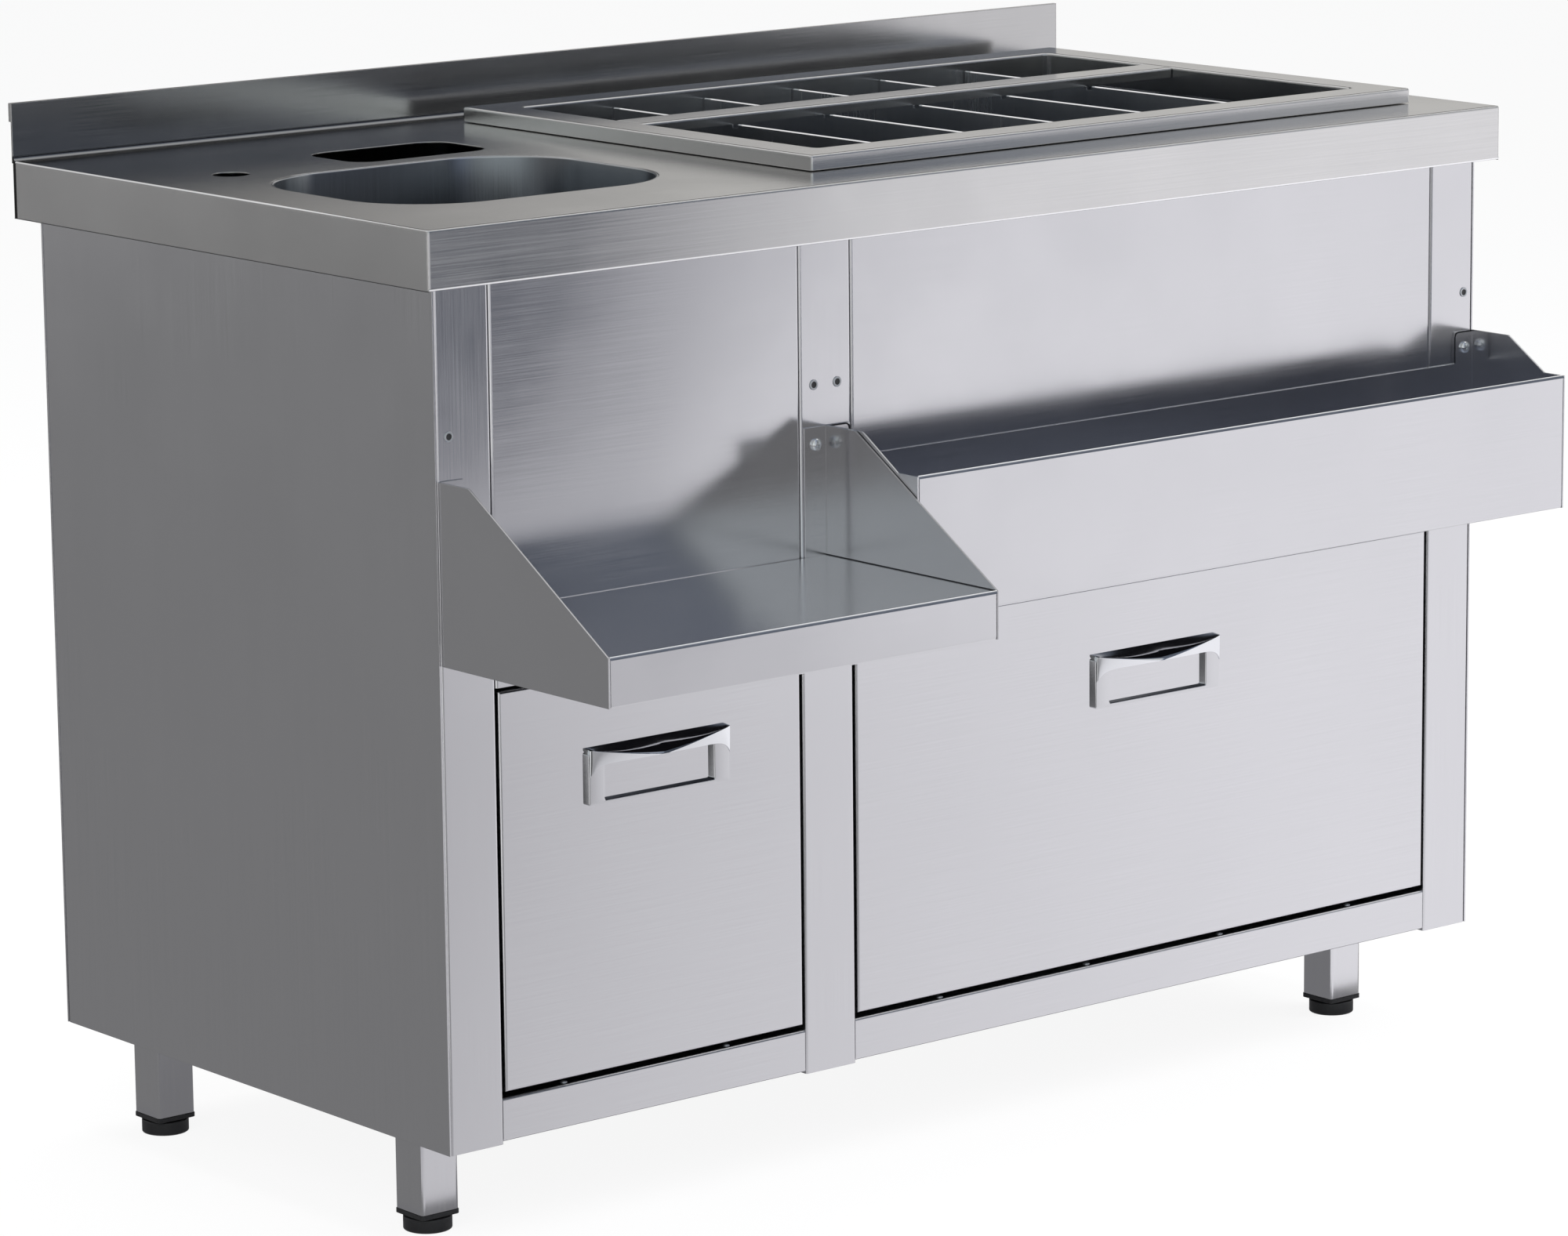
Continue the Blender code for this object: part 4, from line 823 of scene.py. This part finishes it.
def pad_profile():
    """The pad's half section: flat base, round edges, flat top and the neck."""
    lower = np.column_stack([PAD_RADIUS - ROUND * (1 - np.sin(QUARTER)), ROUND * (1 - np.cos(QUARTER))])
    upper = np.column_stack([
        PAD_RADIUS - ROUND * (1 - np.cos(QUARTER)), PAD_HEIGHT - ROUND * (1 - np.sin(QUARTER)),
    ])
    neck = np.array([(NECK_RADIUS, PAD_HEIGHT), (NECK_RADIUS, NECK_TOP), (0.0, NECK_TOP)])
    return np.vstack([[(0.0, 0.0)], lower, upper, neck])


def threaded_stud(centre, low, high):
    """Radius = stud - depth * |saw(height / pitch - angle / turn)|, closed by flat ends."""
    z = np.linspace(low, high, int((high - low) / PITCH * PITCH_STEPS))[:, None]
    angle = np.linspace(0.0, 2 * math.pi, STUD_STEPS, endpoint=False)[None, :]
    saw = np.abs((z / PITCH - angle / (2 * math.pi)) % 1.0 - 0.5) * 2
    r = STUD_RADIUS - THREAD_DEPTH * saw
    grid = np.stack([centre[0] + r * np.cos(angle), centre[1] + r * np.sin(angle), z + 0.0 * angle], axis=-1)
    ends = [np.tile(np.array((*centre, at)), (1, STUD_STEPS, 1)) for at in (low, high)]
    return skin(np.concatenate([ends[0], grid, ends[1]]), wrap_columns=True)


for corner in ("front_left", "front_right", "back_left", "back_right"):
    low, high = (np.array(end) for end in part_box("foot_" + corner))
    centre = ((low + high) / 2)[:2]
    pad = piece("foot_pad_" + corner, [turned_up(centre, pad_profile())], "levelling_foot_" + corner, black,
                crease=50)
    stud = piece("foot_stud_" + corner, [threaded_stud(centre, NECK_TOP, high[2])], "levelling_foot_" + corner,
                 zinc, crease=25)
    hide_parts("foot_" + corner)
    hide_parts("foot_" + corner)

# %% [markdown]
# ## Studio
# Steel shows what stands around it. The camera sees one pale floor, while the steel's front shows a floor that
# is darker on the left and far off, and its sides and back a grey one. Painting those tones on the steel would look
# wrong from other sides. So the floor carries cards of these tones that only mirror rays see. One more card lies in
# the trough of the rail and glows in a cool tone, a painted light inside the trough, and black flags hang under the
# shelf and the rail, a painted shade of their undersides.

# %% Floor and cards
FLOOR_REACH = 60.0
FLOOR_EVEN = 0.9


def sheet_of_card(name, low, high, height, material):
    """A flat rectangle at a height, from its low to its high corner."""
    x = np.array([low[0], high[0]])
    y = np.array([low[1], high[1]])
    grid = np.stack([*np.meshgrid(x, y), np.full((2, 2), height)], axis=-1)
    points, quads = skin(grid)
    mesh = bpy.data.meshes.new(name)
    mesh.from_pydata(points.tolist(), [], quads.tolist())
    mesh.materials.append(material)
    made = bpy.data.objects.new(name, mesh)
    bpy.context.scene.collection.objects.link(made)
    return made


def pale_floor():
    """White paint for the lamps, mixed with an even white where the camera, metal or glass looks at it."""
    made, tree = blank("pale_floor")
    paint = node(tree, "BsdfDiffuse", {"Color": (0.9, 0.9, 0.9, 1.0)}).outputs["BSDF"]
    even = node(tree, "Emission", {"Color": (1.0, 1.0, 1.0, 1.0), "Strength": 1.0}).outputs["Emission"]
    path = node(tree, "LightPath").outputs
    seen = maths(tree, "MAXIMUM", path["Is Camera Ray"], path["Is Glossy Ray"])
    seen = maths(tree, "MAXIMUM", seen, path["Is Transmission Ray"])
    share = maths(tree, "MULTIPLY", seen, FLOOR_EVEN)
    shader = node(tree, "MixShader", {"Fac": share, 1: paint, 2: even}).outputs["Shader"]
    node(tree, "OutputMaterial", {"Surface": shader})
    return made


def card(name, colour, seen_from="both"):
    """A card with an even tone of its own, clear from the other side when it is seen from one side only."""
    made, tree = blank(name)
    tone = node(tree, "Emission", {"Color": (*colour, 1.0), "Strength": 1.0}).outputs["Emission"]
    if seen_from != "both":
        clear = node(tree, "BsdfTransparent").outputs["BSDF"]
        sides = {"above": (tone, clear), "below": (clear, tone)}[seen_from]
        under = node(tree, "NewGeometry").outputs["Backfacing"]
        tone = node(tree, "MixShader", {"Fac": under, 1: sides[0], 2: sides[1]}).outputs["Shader"]
    node(tree, "OutputMaterial", {"Surface": tone})
    return made


def rising_card(name, tones, ends):
    """A grey card whose tone rises along X between the two ends."""
    made, tree = blank(name)
    at = split(tree, node(tree, "TexCoord").outputs["Object"])
    grey = ranged(tree, at["X"], *ends, *tones, "SMOOTHSTEP")
    tone = node(tree, "Emission", {"Color": grey, "Strength": 1.0}).outputs["Emission"]
    node(tree, "OutputMaterial", {"Surface": tone})
    return made


# %% The card in front
FAR_TONE = (0.035, 0.045, 0.07, 1.0)
NEAR_TONE = (0.36, 0.36, 0.37, 1.0)
WHITE = (1.0, 1.0, 1.0, 1.0)


def front_card():
    """A tone that rises from left to right along a slant, with patches of other tones mixed into it in turn."""
    made, tree = blank("front_card")
    at = split(tree, node(tree, "TexCoord").outputs["Object"])

    def line(share):
        """X plus a share of Y, which is constant along a straight line on the floor."""
        return maths(tree, "ADD", at["X"], maths(tree, "MULTIPLY", at["Y"], share))

    def step(value, start, end, low=0.0, high=1.0):
        """A smooth step from low to high between the start and the end."""
        return ranged(tree, value, start, end, low, high, "SMOOTHSTEP")

    def both(first, second):
        """The product of two shares."""
        return maths(tree, "MULTIPLY", first, second)

    slant = line(0.83)
    rise = maths(tree, "POWER", ranged(tree, slant, -0.85, 0.35), 0.7)
    light = maths(tree, "ADD", both(rise, 0.38), 0.62)
    light = maths(tree, "MINIMUM", maths(tree, "ADD", light, step(at["Y"], -1.9, -2.3, 0.0, 0.2)), 1.0)
    fall = both(step(slant, -0.85, -1.3, 0.0, 0.28), step(at["Y"], -2.35, -2.05))
    light = maths(tree, "SUBTRACT", light, fall)
    tone = node(tree, "CombineXYZ", {0: light, 1: both(light, 0.993), 2: both(light, 1.03)}).outputs["Vector"]
    # A dark patch lies far off on the left, and the far end of the floor is dim.
    far = both(both(step(at["Y"], -2.78, -3.08), step(slant, -0.55, -0.78)), step(slant, -3.5, -3.0))
    far = maths(tree, "MAXIMUM", far, step(at["Y"], -11.0, -20.0, 0.0, 0.6))
    tone = mixed(tree, far, tone, FAR_TONE)
    # Left of the slant the floor is grey, then dark, and white where the object's left side begins to see it.
    left = step(slant, -1.3, -1.8)
    shade = step(at["Y"], -1.95, -2.35, 0.09, 0.31)
    shade = node(tree, "CombineXYZ", {0: shade, 1: shade, 2: shade}).outputs["Vector"]
    tone = mixed(tree, both(left, step(line(-0.5), 1.5, 0.8)), tone, NEAR_TONE)
    tone = mixed(tree, both(left, step(line(-0.5), 0.35, 0.05)), tone, shade)
    tone = mixed(tree, both(left, step(line(-1.08), -0.05, -0.3)), tone, WHITE)
    glow = node(tree, "Emission", {"Color": tone, "Strength": 1.0}).outputs["Emission"]
    node(tree, "OutputMaterial", {"Surface": glow})
    return made


print("tones mixed into the front card: 4")

# %% Lay the floor and the cards
SIDE_X = 0.585
FRONT_Y = -0.16
BACK_Y = 0.5
CARD_REACH = 9.0
CARD_HEIGHT = 0.001

sheet_of_card("floor", (-FLOOR_REACH,) * 2, (FLOOR_REACH,) * 2, 0.0, pale_floor())
grey_card = card("side_card", (0.235, 0.235, 0.238))
cool_card = card("trough_card", (0.24, 0.27, 0.33), "above")
dim_card = card("shade_card", (0.22, 0.22, 0.23))
black_card = card("black_card", (0.004, 0.004, 0.005), "below")
rising = rising_card("rising_card", (0.235, 0.55), (-SIDE_X, 2.0))
rail_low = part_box("bottle_rail")[0][2]
cards = [
    sheet_of_card("side_card", (-CARD_REACH, FRONT_Y), (-SIDE_X, CARD_REACH), CARD_HEIGHT, grey_card),
    sheet_of_card("shade_card", (-SIDE_X, FRONT_Y), (SIDE_X, BACK_Y), CARD_HEIGHT, dim_card),
    sheet_of_card("back_card", (-SIDE_X, BACK_Y), (CARD_REACH, CARD_REACH), CARD_HEIGHT, rising),
    sheet_of_card("right_card", (SIDE_X, FRONT_Y), (CARD_REACH, BACK_Y), CARD_HEIGHT, rising),
    sheet_of_card("front_card", (-CARD_REACH, -FLOOR_REACH), (FLOOR_REACH, FRONT_Y), CARD_HEIGHT, front_card()),
    # The trough card glows in a cool tone inside the rail: painted light in the trough.
    sheet_of_card("trough_card", (-0.178, -0.297), (0.581, -0.192), rail_low + 0.003, cool_card),
    # The black flags under the shelf and the rail are painted shade of their undersides.
    sheet_of_card("flag_under_shelf", (-0.582, -0.4025), (-0.183, -0.19), 0.5025, black_card),
    sheet_of_card("flag_under_rail", (-0.181, -0.3015), (0.584, -0.19), rail_low - 0.001, black_card),
]
for made in cards:
    made.visible_camera = False
    made.visible_diffuse = False
    made.visible_shadow = False
print("floor and cards:", 1 + len(cards))

# %% [markdown]
# ## Room and lamps
# A room could be built from walls and windows, but a mirror only asks which tone lies in each direction. So the
# world is three rings of tones round the compass, one near the horizon, one above it and one for the ceiling,
# which blend into each other by the height of the ray. Three soft boxes add plain light and the shadow on the
# floor, and mirror rays pass by them, because the rings already give what the steel shows.

# %% Tones round the room
COOL = (0.84, 0.96, 1.22)
PLAIN = (1.0, 1.0, 1.0)
WARM = (1.0, 0.985, 0.96)
GREEN = (0.93, 1.0, 1.01)
HORIZON = (
    (-180, 0.30, PLAIN), (-165, 0.42, GREEN), (-145, 0.80, GREEN), (-115, 0.80, GREEN), (-97, 0.60, GREEN),
    (-78, 0.45, COOL), (-66, 0.20, COOL), (-58, 0.04, COOL), (-52, 0.08, COOL), (-48, 0.34, COOL),
    (-44, 0.70, PLAIN), (-38, 0.90, PLAIN), (0, 0.85, PLAIN), (44, 0.60, WARM), (51, 0.58, WARM), (55, 0.30, WARM),
    (60, 0.10, WARM), (76, 0.10, PLAIN), (92, 0.42, PLAIN), (108, 0.42, PLAIN), (122, 0.25, PLAIN),
    (150, 0.25, PLAIN), (180, 0.30, PLAIN),
)
UPPER = (
    (-180, 0.45, PLAIN), (-150, 0.60, GREEN), (-110, 0.60, GREEN), (-95, 0.50, PLAIN), (-80, 0.35, COOL),
    (-60, 0.12, COOL), (-36, 0.12, COOL), (0, 0.12, PLAIN), (44, 0.08, WARM), (60, 0.04, WARM), (80, 0.05, PLAIN),
    (96, 0.50, PLAIN), (140, 0.50, PLAIN), (180, 0.45, PLAIN),
)
CEILING = (
    (-180, 0.50, PLAIN), (-110, 0.60, GREEN), (-80, 0.40, COOL), (-46, 0.25, COOL), (-30, 1.00, PLAIN),
    (5, 1.00, PLAIN), (25, 0.30, PLAIN), (60, 0.40, PLAIN), (85, 0.90, PLAIN), (115, 1.00, PLAIN), (140, 0.60, PLAIN),
    (180, 0.50, PLAIN),
)


def ring(tree, turn, table):
    """A colour ramp from (angle, tone, tint) rows, with the angle taken from -180..180 to 0..1."""
    made = node(tree, "ValToRGB", {"Fac": turn})
    band = made.color_ramp
    for _ in table[2:]:
        band.elements.new(0.5)
    for element, (angle, tone, tint) in zip(band.elements, table):
        element.position = (angle + 180) / 360
        element.color = (*np.minimum(tone * np.array(tint), 1.0), 1.0)
    return made.outputs["Color"]


print("tones in the rings:", len(HORIZON), len(UPPER), len(CEILING))

# %% Make the room
UPPER_FROM = (0.23, 0.36)
CEILING_FROM = (0.50, 0.64)

world = bpy.data.worlds.new("room")
bpy.context.scene.world = world
world.use_nodes = True
tree = world.node_tree
tree.nodes.clear()
ray = split(tree, node(tree, "TexCoord").outputs["Generated"])
turn = ranged(tree, maths(tree, "ARCTAN2", ray["Y"], ray["X"]), -math.pi, math.pi)
room = ring(tree, turn, HORIZON)
for heights, table in ((UPPER_FROM, UPPER), (CEILING_FROM, CEILING)):
    share = ranged(tree, ray["Z"], *heights, shape="SMOOTHSTEP")
    room = mixed(tree, share, room, ring(tree, turn, table))
back = node(tree, "Background", {"Color": room, "Strength": 1.0}).outputs["Background"]
node(tree, "OutputWorld", {"Surface": back})
print("world nodes:", len(tree.nodes))

# %% Set up the lamps
LAMP_AIM = (0.0, 0.0, 0.4)


def lamp(name, place, size, power):
    """A square soft box at a place, turned to face the object."""
    data = bpy.data.lights.new(name, "AREA")
    data.energy = power
    data.size = size
    made = bpy.data.objects.new(name, data)
    away = np.array(place) - LAMP_AIM
    back_axis = away / np.linalg.norm(away)
    side_axis = np.cross((0.0, 0.0, 1.0), back_axis)
    side_axis /= np.linalg.norm(side_axis)
    turn = np.column_stack([side_axis, np.cross(back_axis, side_axis), back_axis])
    made.matrix_world = Matrix.Translation(place) @ Matrix(turn.tolist()).to_4x4()
    made.visible_glossy = False
    bpy.context.scene.collection.objects.link(made)


lamp("key_lamp", (3.0, -2.6, 3.0), 2.4, 220.0)
lamp("fill_lamp", (-3.4, -2.2, 2.6), 2.4, 90.0)
lamp("top_lamp", (0.0, 0.6, 4.0), 3.0, 140.0)
print("lamps: 3")

# %% [markdown]
# ## Camera
# The place and turn of the camera come from the straight edges of the object in the photograph. A lens of about
# four picture widths stands far off, so that the edges of the object stay nearly parallel. Light may bounce a few
# times more between mirrors than usual, because in the sink and the shelf steel faces steel.

# %% The camera
EYE = (-3.4532164, -4.1113301, 1.5167511)
EYE_RIGHT = (0.77151852, -0.63612759, -0.01004331)
EYE_UP = (0.1329993, 0.14582872, 0.98032911)
EYE_BACK = (-0.62214979, -0.75767782, 0.19711409)
LENS_WIDTHS = 7928.8126 / 2000
MIRROR_BOUNCES = 10

view = bpy.data.cameras.new("camera")
view.sensor_fit = "HORIZONTAL"
view.sensor_width = 36.0
view.lens = LENS_WIDTHS * view.sensor_width
camera = bpy.data.objects.new("camera", view)
camera.matrix_world = Matrix.Translation(EYE) @ Matrix((EYE_RIGHT, EYE_UP, EYE_BACK)).transposed().to_4x4()
bpy.context.scene.collection.objects.link(camera)
bpy.context.scene.camera = camera
bpy.context.scene.view_settings.view_transform = "Standard"
bpy.context.scene.cycles.glossy_bounces = MIRROR_BOUNCES
print("lens in mm:", round(view.lens, 2))
